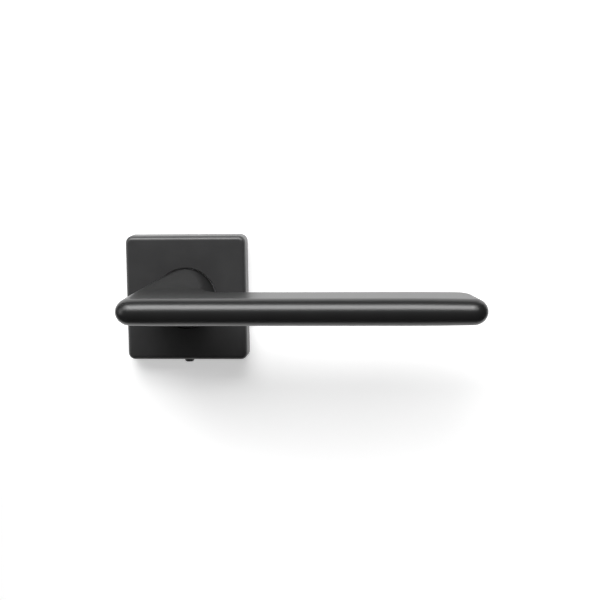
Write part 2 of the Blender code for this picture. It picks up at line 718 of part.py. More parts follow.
def make_retaining_ring():
    """An open spring ring in the shank's groove, with two eyes beside its gap."""
    start = -math.pi / 2.0 + RING_GAP / 2.0
    end = start + 2.0 * math.pi - RING_GAP
    outline = ring_sector(RING_INNER_RADIUS, RING_OUTER_RADIUS, start, end, 2 * SMALL_STEPS)
    ring = prism("retaining_ring", outline, RING_FROM, RING_TO, SPRING_STEEL)
    eye_path = (RING_INNER_RADIUS + RING_OUTER_RADIUS) / 2.0
    for side, angle in (("right", start + RING_EYE_INSET), ("left", end - RING_EYE_INSET)):
        outline = [(RING_EYE_RADIUS, 0.0), (RING_EYE_RADIUS, 2.0 * RING_TO)]
        hole = rod(f"ring_eye_{side}", outline, steps=TINY_STEPS)
        cut(ring, place(hole, eye_path * math.cos(angle), 0.0, eye_path * math.sin(angle)))
    return ring


def make_rotor():
    """The driver on the shank's flats, whose two ears press the springs."""
    rotor = prism("rotor", circle(ROTOR_RADIUS), ROTOR_FROM, ROTOR_TO, ZINC)
    for name, start in ear_angles().items():
        end = start - EAR_ANGLE
        ear = ring_sector(EAR_INNER_RADIUS, EAR_OUTER_RADIUS, end, start, EDGE_STEPS)
        join(rotor, prism(f"rotor_{name}", ear, ROTOR_FROM, ROTOR_TO))
        tooth = ring_sector(LUG_RADIUS, EAR_OUTER_RADIUS - TOOTH_INSET, end + TOOTH_INSET_ANGLE,
                            start - TOOTH_INSET_ANGLE, EDGE_STEPS)
        join(rotor, prism(f"rotor_{name}_tooth", tooth, EAR_FROM, ROTOR_FROM + TOOTH_OVERLAP))
    bore = double_d(SHANK_RADIUS + ROTOR_CLEARANCE, SHANK_FLAT + ROTOR_CLEARANCE)
    cut(rotor, prism("rotor_bore", bore, 0.0, 2.0 * ROTOR_TO))
    return rotor


def ear_angles():
    """Where each ear's leading face is at rest: just clear of the lug that stops it."""
    first = math.pi / 2.0 - LUG_HALF_ANGLE - EAR_GAP
    return {"ear_right": first, "ear_left": first + math.pi}


def spring_wire(start, end, t):
    """The wire's centre and the direction out from the coil, at a share t of its way from start to end."""
    margin = SPRING_WIRE_RADIUS / SPRING_PATH_RADIUS
    along = start - margin + (end - start + 2.0 * margin) * t
    coil = 2.0 * math.pi * SPRING_TURNS * t
    radius = SPRING_PATH_RADIUS + SPRING_COIL_RADIUS * math.cos(coil)
    depth = SPRING_DEPTH + SPRING_COIL_RADIUS * math.sin(coil)
    centre = Vector((radius * math.cos(along), -depth, radius * math.sin(along)))
    outward = Vector((math.cos(coil) * math.cos(along), -math.sin(coil), math.cos(coil) * math.sin(along)))
    return centre, outward


def make_spring(name, ear_start):
    """A compression spring bent along the chamber, from the rotor's ear to the far lug."""
    start = ear_start - EAR_ANGLE - EAR_GAP
    end = ear_start - math.pi + 2.0 * LUG_HALF_ANGLE + 2.0 * EAR_GAP
    steps = SPRING_TURNS * SPRING_STEPS_PER_TURN
    turns = [2.0 * math.pi * k / SPRING_WIRE_SIDES for k in range(SPRING_WIRE_SIDES)]
    sections = []
    for i in range(steps + 1):
        t = i / steps
        centre, outward = spring_wire(start, end, t)
        ahead = spring_wire(start, end, t + SPRING_PROBE)[0]
        behind = spring_wire(start, end, t - SPRING_PROBE)[0]
        heading = (ahead - behind).normalized()
        side = heading.cross(outward).normalized()
        outward = side.cross(heading).normalized()
        sections.append([centre + (outward * math.cos(a) + side * math.sin(a)) * SPRING_WIRE_RADIUS
                         for a in turns])
    bm = bmesh.new()
    loft(bm, sections)
    return object_from(bm, name, SPRING_STEEL)


def make_screw(name, size, finish, socket_sides=6):
    """A countersunk screw along the spindle's axis, with the top of its head at depth 0."""
    shank_end = -size["length"] + size["tip"]
    outline = [(size["head"], 0.0), (size["head"], -HEAD_RIM), (size["shank"], -size["cone"]),
               (size["shank"], shank_end), (size["tip_radius"], -size["length"])]
    screw = rod(name, outline, finish)
    socket = prism(f"{name}_socket", regular(size["socket"], socket_sides), -size["socket_depth"], OVERCUT)
    cut(screw, socket)
    return screw, socket


def make_door_screws():
    """Two through bolts and four wood screws, with their heads flush with the base plate."""
    made = []
    for side, x in bolt_places().items():
        for obj in make_screw(f"through_bolt_{side}", THROUGH_BOLT, STEEL):
            made.append(place(obj, x, BASE_DEPTH))
    for corner, (x, z) in corner_places().items():
        for obj in make_screw(f"wood_screw_{corner}", WOOD_SCREW, STEEL, socket_sides=4):
            made.append(place(obj, x, BASE_DEPTH, z))
    for side, z in plate_screw_places().items():
        for obj in make_screw(f"back_plate_screw_{side}", PLATE_SCREW, STEEL):
            obj.rotation_euler.x = math.pi
            made.append(place(obj, 0.0, BACK_PLATE_FROM, z))
    return made


# --------------------------------------------------------------------------------------------- assembly

def under(parent_name, pieces):
    """Parents pieces to a new empty on the spindle's axis, where the lever's hinge is."""
    empty = bpy.data.objects.new(parent_name, None)
    bpy.context.scene.collection.objects.link(empty)
    for piece in pieces:
        piece.parent = empty


def build():
    clear_scene()
    turning = [make_lever(), make_spindle(), make_set_screw(), make_rotor(), make_washer(),
               make_retaining_ring()]
    under("lever_axis", turning)
    fixed = [make_cover(), make_cover_screw(), make_base_plate(), make_back_plate(), make_bush()]
    for name, start in ear_angles().items():
        fixed.append(make_spring(name.replace("ear", "return_spring"), start))
    fixed += make_door_screws()
    under("rose_axis", fixed)


build()
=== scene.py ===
"""Looks for the door lever handle: finer pieces, materials, a white wall, soft light and the camera.

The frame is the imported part's: the origin is on the spindle's axis in the plane of the door's face, +X runs
along the lever, +Z is up and -Y points towards the hand. A "depth" is a distance from the door's face
towards the hand, so a point at depth d has y = -d. Sizes are in metres.
"""
import math

import bmesh
import bpy
from mathutils import Matrix, Vector


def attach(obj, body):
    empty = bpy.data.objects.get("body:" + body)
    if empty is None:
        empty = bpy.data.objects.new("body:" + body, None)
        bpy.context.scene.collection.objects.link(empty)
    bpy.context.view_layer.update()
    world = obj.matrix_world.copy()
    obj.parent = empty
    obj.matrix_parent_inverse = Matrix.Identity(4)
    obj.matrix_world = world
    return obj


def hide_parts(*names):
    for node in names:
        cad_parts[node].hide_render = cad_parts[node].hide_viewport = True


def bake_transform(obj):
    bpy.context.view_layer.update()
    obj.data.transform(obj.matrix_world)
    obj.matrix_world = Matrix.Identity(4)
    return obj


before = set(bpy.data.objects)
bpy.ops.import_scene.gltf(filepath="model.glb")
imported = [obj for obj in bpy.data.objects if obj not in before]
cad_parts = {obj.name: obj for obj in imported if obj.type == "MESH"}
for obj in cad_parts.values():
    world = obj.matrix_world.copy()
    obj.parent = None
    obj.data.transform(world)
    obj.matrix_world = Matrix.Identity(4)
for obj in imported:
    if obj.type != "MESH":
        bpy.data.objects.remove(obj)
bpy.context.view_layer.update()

MM = 0.001
QUARTER = math.pi / 2.0

# Rose
ROSE_WIDTH = 51.3 * MM
ROSE_HEIGHT = 52.9 * MM
ROSE_DEPTH = 8.5 * MM
ROSE_CORNER = 3.0 * MM
ROSE_EDGE_ROUND = 1.9 * MM
COVER_WALL = 1.2 * MM
COVER_FRONT = 1.5 * MM
COVER_HOLE_RADIUS = 12.95 * MM
COVER_HOLE_ROUND = 0.25 * MM

# Lever: neck and grip
NECK_RADIUS = 12.5 * MM
NECK_START = 7.75 * MM
FLARE_START = 9.0 * MM
FLARE_END = 49.0 * MM
FLARE_POWER = 3.6
FLARE_SHARE = 0.64
NECK_SLOPE = -0.45
INNER_FILLET = 8.0 * MM
GRIP_LEFT = -22.2 * MM
GRIP_RIGHT = 128.4 * MM
GRIP_BACK = 34.0 * MM
GRIP_FRONT = 56.3 * MM
NOSE_RADIUS = 5.6 * MM
BACK_HALF_HEIGHT = 6.4 * MM
BACK_EDGE = 3.0 * MM
BACK_EDGE_AT_TURN = 4.0 * MM
BACK_EDGE_AT_END = 5.0 * MM
LEFT_CORNER = 7.0 * MM
RIGHT_FRONT_CORNER = 6.1 * MM
RIGHT_BACK_CORNER = 9.0 * MM
END_SLANT = math.radians(22.5)
TAPER_RIGHT_START = 95.0 * MM
TAPER_LEFT_START = -5.0 * MM
TAPER = 0.07

# Shank of the lever, inside the rose
SHANK_RADIUS = 7.9 * MM
SHANK_FLAT = 6.7 * MM
SHANK_END = 1.3 * MM
SHANK_FLAT_END = 4.6 * MM
SHANK_INSET = 0.02 * MM
GROOVE_RADIUS = 7.2 * MM
GROOVE_FROM = 1.6 * MM
GROOVE_TO = 2.6 * MM
BORE_SIDE = 8.3 * MM
BORE_END = 28.0 * MM

# Spindle and its set screw
SPINDLE_SIDE = 8.0 * MM
SPINDLE_EDGE = 0.35 * MM
SPINDLE_CHAMFER = 0.6 * MM
SPINDLE_INNER_DEPTH = 27.5 * MM
SPINDLE_REACH = 52.0 * MM
CLIP_GROOVE_FROM = 0.8 * MM
CLIP_GROOVE_TO = 1.8 * MM
CLIP_GROOVE_BOTTOM = 7.4 * MM
SET_SCREW_DEPTH = 18.0 * MM
SET_SCREW_HOLE = 2.75 * MM
SET_SCREW_RADIUS = 2.5 * MM
SET_SCREW_LENGTH = 4.5 * MM
SET_SCREW_POINT = 0.7 * MM
SET_SCREW_GAP = 0.3 * MM
SET_SCREW_SOCKET = 2.5 * MM
SET_SCREW_SOCKET_DEPTH = 2.0 * MM

# Base plate and back plate
BASE_FIT = 0.2 * MM
BASE_WIDTH = ROSE_WIDTH - 2.0 * (COVER_WALL + BASE_FIT)
BASE_HEIGHT = ROSE_HEIGHT - 2.0 * (COVER_WALL + BASE_FIT)
BASE_DEPTH = 6.7 * MM
BASE_CORNER = 1.6 * MM
BASE_CHAMFER = 0.25 * MM
RECESS_SIDE = 41.8 * MM
RECESS_DEPTH = 1.1 * MM
CHAMBER_RADIUS = 13.9 * MM
CHAMBER_TOP = 5.2 * MM
LUG_RADIUS = 9.9 * MM
LUG_HALF_ANGLE = math.radians(12.0)
WEB_HOLE_RADIUS = 9.1 * MM
BOLT_OFFSET = 19.0 * MM
BOLT_HOLE_RADIUS = 2.2 * MM
SPIGOT_RADIUS = 3.5 * MM
SPIGOT_REACH = 7.0 * MM
SPIGOT_CHAMFER = 0.3 * MM
CORNER_OFFSET = 17.3 * MM
CORNER_HOLE_RADIUS = 2.1 * MM
BACK_PLATE_SIDE = 41.2 * MM
BACK_PLATE_FROM = 0.3 * MM
BACK_PLATE_TO = 1.0 * MM
BACK_PLATE_BORE = 6.6 * MM

# Bush, rotor, washer, retaining ring and springs
BUSH_BORE = 8.2 * MM
BUSH_RADIUS = 8.8 * MM
BUSH_FLANGE_RADIUS = 12.3 * MM
BUSH_FROM = 5.25 * MM
BUSH_FLANGE_FROM = 6.95 * MM
BUSH_TO = 7.5 * MM
WASHER_RADIUS = 9.5 * MM
WASHER_FROM = 4.65 * MM
WASHER_TO = 5.05 * MM
ROTOR_RADIUS = 9.4 * MM
ROTOR_FROM = 2.7 * MM
ROTOR_TO = 4.5 * MM
ROTOR_CLEARANCE = 0.3 * MM
EAR_FROM = 1.4 * MM
EAR_INNER_RADIUS = 8.9 * MM
EAR_OUTER_RADIUS = 13.5 * MM
EAR_ANGLE = math.radians(15.0)
EAR_GAP = math.radians(1.5)
TOOTH_INSET = 0.02 * MM
TOOTH_INSET_ANGLE = 0.01
TOOTH_OVERLAP = 0.5 * MM
RING_INNER_RADIUS = 7.35 * MM
RING_OUTER_RADIUS = 9.3 * MM
RING_FROM = 1.7 * MM
RING_TO = 2.5 * MM
RING_GAP = math.radians(70.0)
RING_EYE_RADIUS = 0.5 * MM
RING_EYE_INSET = 0.12
SPRING_PATH_RADIUS = 11.6 * MM
SPRING_DEPTH = 3.05 * MM
SPRING_COIL_RADIUS = 1.2 * MM
SPRING_WIRE_RADIUS = 0.3 * MM
SPRING_TURNS = 8
SPRING_STEPS_PER_TURN = 32
SPRING_WIRE_SIDES = 12
SPRING_PROBE = 0.001

# Screws: head, shank and tip_radius are radii, cone and tip are lengths, socket is across its flats
THROUGH_BOLT = {"head": 3.75 * MM, "cone": 1.9 * MM, "shank": 1.95 * MM, "length": 50.0 * MM,
                "tip": 0.6 * MM, "tip_radius": 1.5 * MM, "socket": 2.5 * MM, "socket_depth": 1.3 * MM,
                "pitch": 0.7 * MM, "thread": 0.36 * MM}
WOOD_SCREW = {"head": 3.6 * MM, "cone": 2.0 * MM, "shank": 1.7 * MM, "length": 25.0 * MM,
              "tip": 4.0 * MM, "tip_radius": 0.3 * MM, "socket": 2.0 * MM, "socket_depth": 1.2 * MM,
              "pitch": 1.8 * MM, "thread": 0.5 * MM}
PLATE_SCREW = {"head": 2.2 * MM, "cone": 1.1 * MM, "shank": 1.1 * MM, "length": 4.2 * MM,
               "tip": 0.3 * MM, "tip_radius": 0.8 * MM, "socket": 1.3 * MM, "socket_depth": 0.6 * MM,
               "pitch": 0.4 * MM, "thread": 0.2 * MM}
SET_SCREW_PITCH = 0.8 * MM
SET_SCREW_THREAD = 0.35 * MM
SCREW_CLEARANCE = 0.25 * MM
HEAD_RIM = 0.15 * MM
COVER_SCREW_RADIUS = 1.95 * MM
COVER_SCREW_HOLE = 2.2 * MM
COVER_SCREW_DEPTH = 3.1 * MM
COVER_SCREW_STANDS_OUT = 1.4 * MM
COVER_SCREW_LENGTH = 6.2 * MM
COVER_SCREW_CHAMFER = 0.4 * MM
COVER_SCREW_SOCKET = 2.0 * MM
COVER_SCREW_SOCKET_DEPTH = 1.6 * MM

# Fineness
ROUND_STEPS = 96
CORNER_STEPS = 12
EDGE_STEPS = 12
SIDE_STEPS = 28
TOP_POINTS = 3
SCREW_STEPS = 32
STEPS_PER_PITCH = 10
TIP_TURNS = 3
RIM_STEPS = 4
REACH_PASSES = 3
NECK_STEPS = 24
GRIP_STEPS = 20
GRIP_END_STEPS = 24
SMOOTH_ANGLE = math.radians(32.0)
OVERCUT = 1.0 * MM
SUPPORT_GAP = 0.05 * MM


# ------------------------------------------------------------------------------------------- mesh basics

def object_from(bm, name):
    bmesh.ops.recalc_face_normals(bm, faces=bm.faces)
    mesh = bpy.data.meshes.new(name)
    bm.to_mesh(mesh)
    bm.free()
    obj = bpy.data.objects.new(name, mesh)
    bpy.context.scene.collection.objects.link(obj)
    return shaded(obj)


def shaded(obj):
    obj.data.shade_smooth()
    obj.data.set_sharp_from_angle(angle=SMOOTH_ANGLE)
    return obj


def carve(obj, joined=(), cutters=()):
    """Adds and cuts away whole solids, then keeps the result as obj's own mesh."""
    steps = [(other, "UNION") for other in joined] + [(other, "DIFFERENCE") for other in cutters]
    for other, operation in steps:
        modifier = obj.modifiers.new(operation, "BOOLEAN")
        modifier.operation = operation
        modifier.solver = "EXACT"
        modifier.object = other
    graph = bpy.context.evaluated_depsgraph_get()
    mesh = bpy.data.meshes.new_from_object(obj.evaluated_get(graph))
    mesh.name = obj.name
    obj.modifiers.clear()
    obj.data = mesh
    for other, _ in steps:
        bpy.data.objects.remove(other, do_unlink=True)
    return shaded(obj)


def circle(radius, steps=ROUND_STEPS):
    turns = [2.0 * math.pi * (i + 0.5) / steps for i in range(steps)]
    return [(radius * math.cos(a), radius * math.sin(a)) for a in turns]


def arc(radius, start, end, steps):
    turns = [start + (end - start) * i / steps for i in range(steps + 1)]
    return [(radius * math.cos(a), radius * math.sin(a)) for a in turns]


def rounded(width, height, corner, steps=CORNER_STEPS):
    points = []
    for quarter in range(4):
        start = quarter * QUARTER
        cx = math.copysign(width / 2.0 - corner, math.cos(start + QUARTER / 2.0))
        cz = math.copysign(height / 2.0 - corner, math.sin(start + QUARTER / 2.0))
        points += [(cx + x, cz + z) for x, z in arc(corner, start, start + QUARTER, steps)]
    return points


def double_d(radius, flat):
    angle = math.asin(flat / radius)
    steps = ROUND_STEPS // 4
    return arc(radius, -angle, angle, steps) + arc(radius, math.pi - angle, math.pi + angle, steps)


def regular(across_flats, sides):
    return circle(across_flats / 2.0 / math.cos(math.pi / sides), sides)


def at_depth(outline, depth):
    return [Vector((x, -depth, z)) for x, z in outline]


def loft(bm, sections, closed=True):
    """Skins loops of equal length and, if closed, caps the first and the last."""
    loops = [[bm.verts.new(point) for point in section] for section in sections]
    count = len(loops[0])
    for lower, upper in zip(loops, loops[1:]):
        for i in range(count):
            j = (i + 1) % count
            bm.faces.new((lower[i], lower[j], upper[j], upper[i]))
    if closed:
        bm.faces.new(loops[0])
        bm.faces.new(loops[-1])
    return loops


def skin(name, sections):
    bm = bmesh.new()
    loft(bm, sections)
    return object_from(bm, name)


def prism(name, outline, depth_from, depth_to):
    return skin(name, [at_depth(outline, depth_from), at_depth(outline, depth_to)])


def lathe(name, profile):
    """A ring-shaped solid about the spindle's axis, from (radius, depth) points that close a loop."""
    bm = bmesh.new()
    rings = [[bm.verts.new((x, -depth, z)) for x, z in circle(radius)] for radius, depth in profile]
    for lower, upper in zip(rings, rings[1:] + rings[:1]):
        for i in range(ROUND_STEPS):
            j = (i + 1) % ROUND_STEPS
            bm.faces.new((lower[i], lower[j], upper[j], upper[i]))
    return object_from(bm, name)


def rod(name, radii, steps=ROUND_STEPS // 2):
    """A round bar along -Y from (radius, depth) points."""
    return skin(name, [at_depth(circle(radius, steps), depth) for radius, depth in radii])


def moved(obj, matrix):
    """Puts a turn or a shift into the mesh itself."""
    obj.data.transform(matrix)
    return obj


def at(x=0.0, depth=0.0, z=0.0):
    return Matrix.Translation((x, -depth, z))


DOWNWARD = Matrix.Rotation(QUARTER, 4, "X")
UPWARD = Matrix.Rotation(-QUARTER, 4, "X")


# ------------------------------------------------------------------------------------------------ lever

def half_height(depth):
    """Half the lever's height at a depth: round at the rose, then a slim wedge towards its nose."""
    nose_centre = GRIP_FRONT - NOSE_RADIUS
    grip_slope = (NOSE_RADIUS - BACK_HALF_HEIGHT) / (nose_centre - GRIP_BACK)
    if depth <= FLARE_START:
        return NECK_RADIUS
    if depth >= nose_centre:
        return NOSE_RADIUS
    if depth >= GRIP_BACK:
        return BACK_HALF_HEIGHT + grip_slope * (depth - GRIP_BACK)
    span = GRIP_BACK - FLARE_START
    t = (depth - FLARE_START) / span
    ease = 3.0 * t**2 - 2.0 * t**3
    start_pull = (t**3 - 2.0 * t**2 + t) * span * NECK_SLOPE
    end_pull = (t**3 - t**2) * span * grip_slope
    return NECK_RADIUS + (BACK_HALF_HEIGHT - NECK_RADIUS) * ease + start_pull + end_pull


def left_side(depth):
    t = min(max((depth - FLARE_START) / (FLARE_END - FLARE_START), 0.0), 1.0)
    flared = FLARE_SHARE * (1.0 - (1.0 - t)**FLARE_POWER) + (1.0 - FLARE_SHARE) * t
    return -NECK_RADIUS + (GRIP_LEFT + NECK_RADIUS) * flared


def round_side(edge, normal, reach):
    """A half-ellipse over a plan edge point, from the top down."""
    centre = edge - normal * reach
    height = half_height(centre.y)
    points = []
    for i in range(SIDE_STEPS + 1):
        turn = QUARTER - math.pi * i / SIDE_STEPS
        plan = centre + normal * reach * math.cos(turn)
        points.append(Vector((plan.x, -plan.y, height * math.sin(turn))))
    return points


def across(start, end, side):
    points = []
    for i in range(1, TOP_POINTS + 1):
        between = start.lerp(end, i / (TOP_POINTS + 1))
        points.append(Vector((between.x, between.y, side * half_height(-between.y))))
    return points


def lever_section(outer, outer_normal, inner, inner_normal, inner_reach):
    """One loop round the lever: down its outer side, back along the underside, up its inner side."""
    reach = half_height(outer.y)
    for _ in range(REACH_PASSES):
        reach = half_height((outer - outer_normal * reach).y)
    outer_side = round_side(outer, outer_normal, reach)
    inner_side = round_side(inner, inner_normal, inner_reach)
    inner_side.reverse()
    underside = across(outer_side[-1], inner_side[0], -1)
    top = across(inner_side[-1], outer_side[0], 1)
    return outer_side + underside + inner_side + top


def neck_sections(steps):
    turn_start = GRIP_BACK - INNER_FILLET
    flare = turn_start - FLARE_START
    depths = [NECK_START] + [FLARE_START + flare * i / steps for i in range(steps + 1)]
    sections = []
    for depth in depths:
        t = max((depth - FLARE_START) / flare, 0.0)
        inner_reach = half_height(depth) * (1.0 - t) + BACK_EDGE_AT_TURN * t
        outer = Vector((left_side(depth), depth))
        inner = Vector((NECK_RADIUS, depth))
        sections.append(lever_section(outer, Vector((-1, 0)), inner, Vector((1, 0)), inner_reach))
    return sections


def turn_outer_path(side_steps, corner_steps, front_steps):
    """The lever's outer edge from the neck's left side, round the left corner, to the front."""
    path = []
    turn_start = GRIP_BACK - INNER_FILLET
    corner_start = GRIP_FRONT - LEFT_CORNER
    for i in range(1, side_steps):
        depth = turn_start + (corner_start - turn_start) * i / side_steps
        path.append((Vector((left_side(depth), depth)), Vector((-1, 0))))
    centre = Vector((GRIP_LEFT + LEFT_CORNER, corner_start))
    for i in range(corner_steps + 1):
        turn = QUARTER * i / corner_steps
        normal = Vector((-math.cos(turn), math.sin(turn)))
        path.append((centre + normal * LEFT_CORNER, normal))
    front_end = NECK_RADIUS + INNER_FILLET
    for i in range(1, front_steps + 1):
        x = centre.x + (front_end - centre.x) * i / front_steps
        path.append((Vector((x, GRIP_FRONT)), Vector((0, 1))))
    return path


def turn_sections():
    """Sections that swing round the inner corner, from across the neck to across the grip."""
    outer_path = turn_outer_path(side_steps=15, corner_steps=18, front_steps=12)
    centre = Vector((NECK_RADIUS + INNER_FILLET, GRIP_BACK - INNER_FILLET))
    sections = []
    for i, (outer, outer_normal) in enumerate(outer_path, start=1):
        t = i / len(outer_path)
        turn = math.pi - QUARTER * t
        away = Vector((math.cos(turn), math.sin(turn)))
        inner = centre + away * INNER_FILLET
        inner_reach = BACK_EDGE + (BACK_EDGE_AT_TURN - BACK_EDGE) * (1.0 - t)
        sections.append(lever_section(outer, outer_normal, inner, -away, inner_reach))
    return sections


def end_centres():
    """Plan centres of the grip's right corners, either side of an end that slants back."""
    front = Vector((GRIP_RIGHT - RIGHT_FRONT_CORNER, GRIP_FRONT - RIGHT_FRONT_CORNER))
    slant = Vector((math.cos(END_SLANT), -math.sin(END_SLANT)))
    end_line = front.dot(slant) + RIGHT_FRONT_CORNER
    back_depth = GRIP_BACK + RIGHT_BACK_CORNER
    back_x = (end_line - RIGHT_BACK_CORNER - slant.y * back_depth) / slant.x
    return front, Vector((back_x, back_depth))


def grip_sections(steps, end_steps):
    """Sections along the grip, then round its right end."""
    sections = []
    front_centre, back_centre = end_centres()
    straight_from = NECK_RADIUS + INNER_FILLET
    for i in range(1, steps + 1):
        t = i / steps
        outer = Vector((straight_from + (front_centre.x - straight_from) * t, GRIP_FRONT))
        inner = Vector((straight_from + (back_centre.x - straight_from) * t, GRIP_BACK))
        sections.append(lever_section(outer, Vector((0, 1)), inner, Vector((0, -1)), BACK_EDGE))
    for i in range(1, end_steps + 1):
        t = i / end_steps
        front_turn = (QUARTER + END_SLANT) * t
        back_turn = (QUARTER - END_SLANT) * t
        outer_normal = Vector((math.sin(front_turn), math.cos(front_turn)))
        inner_normal = Vector((math.sin(back_turn), -math.cos(back_turn)))
        outer = front_centre + outer_normal * RIGHT_FRONT_CORNER
        inner = back_centre + inner_normal * RIGHT_BACK_CORNER
        inner_reach = BACK_EDGE + (BACK_EDGE_AT_END - BACK_EDGE) * t
        sections.append(lever_section(outer, outer_normal, inner, inner_normal, inner_reach))
    return sections


def thinned(sections):
    """The same sections, pressed a little flatter towards the grip's two tips."""
    turn_start = GRIP_BACK - INNER_FILLET
    for section in sections:
        for point in section:
            past_right = max(point.x - TAPER_RIGHT_START, 0.0) / (GRIP_RIGHT - TAPER_RIGHT_START)
            past_left = max(TAPER_LEFT_START - point.x, 0.0) / (TAPER_LEFT_START - GRIP_LEFT)
            past_neck = min(max((-point.y - turn_start) / (FLARE_END - turn_start), 0.0), 1.0)
            point.z *= 1.0 - TAPER * (past_right**2 + past_neck * past_left**2)
    return sections


def close_grip_end(bm, loop):
    """Strips between the two round sides of the last section, which face each other across the end."""
    side = SIDE_STEPS + 1
    outer = loop[:side]
    underside = loop[side:side + TOP_POINTS]
    inner = loop[side + TOP_POINTS:2 * side + TOP_POINTS]
    top = loop[2 * side + TOP_POINTS:]
    inner.reverse()
    bm.faces.new([outer[1], outer[0], *reversed(top), inner[0], inner[1]])
    for i in range(1, SIDE_STEPS - 1):
        bm.faces.new((outer[i], outer[i + 1], inner[i + 1], inner[i]))
    bm.faces.new([outer[-2], outer[-1], *underside, inner[-1], inner[-2]])


def make_lever():
    bm = bmesh.new()
    grip = grip_sections(GRIP_STEPS, GRIP_END_STEPS)
    sections = neck_sections(NECK_STEPS) + thinned(turn_sections() + grip)
    loops = loft(bm, sections, closed=False)
    bm.faces.new(loops[0])
    close_grip_end(bm, loops[-1])
    lever = object_from(bm, "lever_handle")
    shank = prism("shank", circle(SHANK_RADIUS), SHANK_FLAT_END, NECK_START + OVERCUT)
    flat_outline = double_d(SHANK_RADIUS - SHANK_INSET, SHANK_FLAT)
    flats = prism("flats", flat_outline, SHANK_END, SHANK_FLAT_END + OVERCUT)
    bore = prism("bore", regular(BORE_SIDE, 4), SHANK_END - OVERCUT, BORE_END)
    groove = lathe("groove", [(GROOVE_RADIUS, GROOVE_FROM), (SHANK_RADIUS + OVERCUT, GROOVE_FROM),
                              (SHANK_RADIUS + OVERCUT, GROOVE_TO), (GROOVE_RADIUS, GROOVE_TO)])
    hole = rod("hole", [(SET_SCREW_HOLE, 0.0), (SET_SCREW_HOLE, NECK_RADIUS)])
    moved(hole, at(0.0, SET_SCREW_DEPTH) @ DOWNWARD)
    return carve(lever, joined=(shank, flats), cutters=(bore, groove, hole))


# ------------------------------------------------------------------------------------------------- rose

def rose_outline(inset):
    return rounded(ROSE_WIDTH - 2.0 * inset, ROSE_HEIGHT - 2.0 * inset, ROSE_CORNER - inset)


def make_cover():
    """A flat cap with a rounded front edge, hollow behind, with a round hole for the neck."""
    inside = rose_outline(COVER_WALL)
    sections = [at_depth(inside, ROSE_DEPTH - COVER_FRONT), at_depth(inside, 0.0)]
    sections.append(at_depth(rose_outline(0.0), 0.0))
    sections.append(at_depth(rose_outline(0.0), ROSE_DEPTH - ROSE_EDGE_ROUND - SUPPORT_GAP))
    for i in range(EDGE_STEPS + 1):
        turn = QUARTER * i / EDGE_STEPS
        inset = ROSE_EDGE_ROUND * (1.0 - math.cos(turn))
        depth = ROSE_DEPTH - ROSE_EDGE_ROUND * (1.0 - math.sin(turn))
        sections.append(at_depth(rose_outline(inset), depth))
    sections.append(at_depth(rose_outline(ROSE_EDGE_ROUND + SUPPORT_GAP), ROSE_DEPTH))
    cover = skin("rose_cover", sections)
    rim = [(COVER_HOLE_RADIUS, ROSE_DEPTH - 2.0 * COVER_FRONT),
           (COVER_HOLE_RADIUS, ROSE_DEPTH - COVER_HOLE_ROUND)]
    for i in range(1, RIM_STEPS + 1):
        turn = QUARTER * i / RIM_STEPS
        rim.append((COVER_HOLE_RADIUS + COVER_HOLE_ROUND * (1.0 - math.cos(turn)),
                    ROSE_DEPTH - COVER_HOLE_ROUND * (1.0 - math.sin(turn))))
    rim.append((COVER_HOLE_RADIUS + COVER_HOLE_ROUND, ROSE_DEPTH + OVERCUT))
    neck_hole = rod("neck_hole", rim, ROUND_STEPS)
    screw_hole = rod("screw_hole", [(COVER_SCREW_HOLE, 0.0), (COVER_SCREW_HOLE, COVER_WALL + 2.0 * OVERCUT)])
    moved(screw_hole, at(0.0, COVER_SCREW_DEPTH, -ROSE_HEIGHT / 2.0 - OVERCUT) @ UPWARD)
    return carve(cover, cutters=(neck_hole, screw_hole))


def make_cover_screw():
    chamfer = COVER_SCREW_CHAMFER
    radius = COVER_SCREW_RADIUS
    length = COVER_SCREW_LENGTH
    screw = rod("rose_screw", [(radius - chamfer, 0.0), (radius, chamfer), (radius, length - chamfer),
                               (radius - chamfer, length)])
    socket = prism("socket", regular(COVER_SCREW_SOCKET, 6), -OVERCUT, COVER_SCREW_SOCKET_DEPTH)
    carve(screw, cutters=(socket,))
    return moved(screw, at(0.0, COVER_SCREW_DEPTH, -ROSE_HEIGHT / 2.0 - COVER_SCREW_STANDS_OUT) @ UPWARD)


def corner_places():
    offset = CORNER_OFFSET
    return {"upper_left": (-offset, offset), "upper_right": (offset, offset),
            "lower_left": (-offset, -offset), "lower_right": (offset, -offset)}


def chamber_outline():
    """A circle that steps in to two lugs, above and below the axis."""
    points = []
    for middle in (0.0, math.pi):
        start = middle - QUARTER + LUG_HALF_ANGLE
        end = middle + QUARTER - LUG_HALF_ANGLE
        points += arc(CHAMBER_RADIUS, start, end, ROUND_STEPS // 2)
        points += arc(LUG_RADIUS, end, end + 2.0 * LUG_HALF_ANGLE, EDGE_STEPS)
    return points


def ring_sector(inner, outer, start, end, steps):
    return arc(outer, start, end, steps) + arc(inner, end, start, steps)


def countersunk_hole(name, screw, radius, x, z):
    head = screw["head"] + SCREW_CLEARANCE
    cone_start = BASE_DEPTH - screw["cone"] - SCREW_CLEARANCE
    profile = [(radius, -SPIGOT_REACH - OVERCUT), (radius, cone_start), (head, BASE_DEPTH),
               (head, BASE_DEPTH + OVERCUT)]
    return moved(rod(name, profile), at(x, 0.0, z))


def plate_screw_hole(name, z, length):
    head = PLATE_SCREW["head"] + SCREW_CLEARANCE
    radius = PLATE_SCREW["shank"] + SCREW_CLEARANCE
    profile = [(head, -OVERCUT), (head, BACK_PLATE_FROM), (radius, BACK_PLATE_FROM + PLATE_SCREW["cone"]),
               (radius, length)]
    return moved(rod(name, profile), at(0.0, 0.0, z))


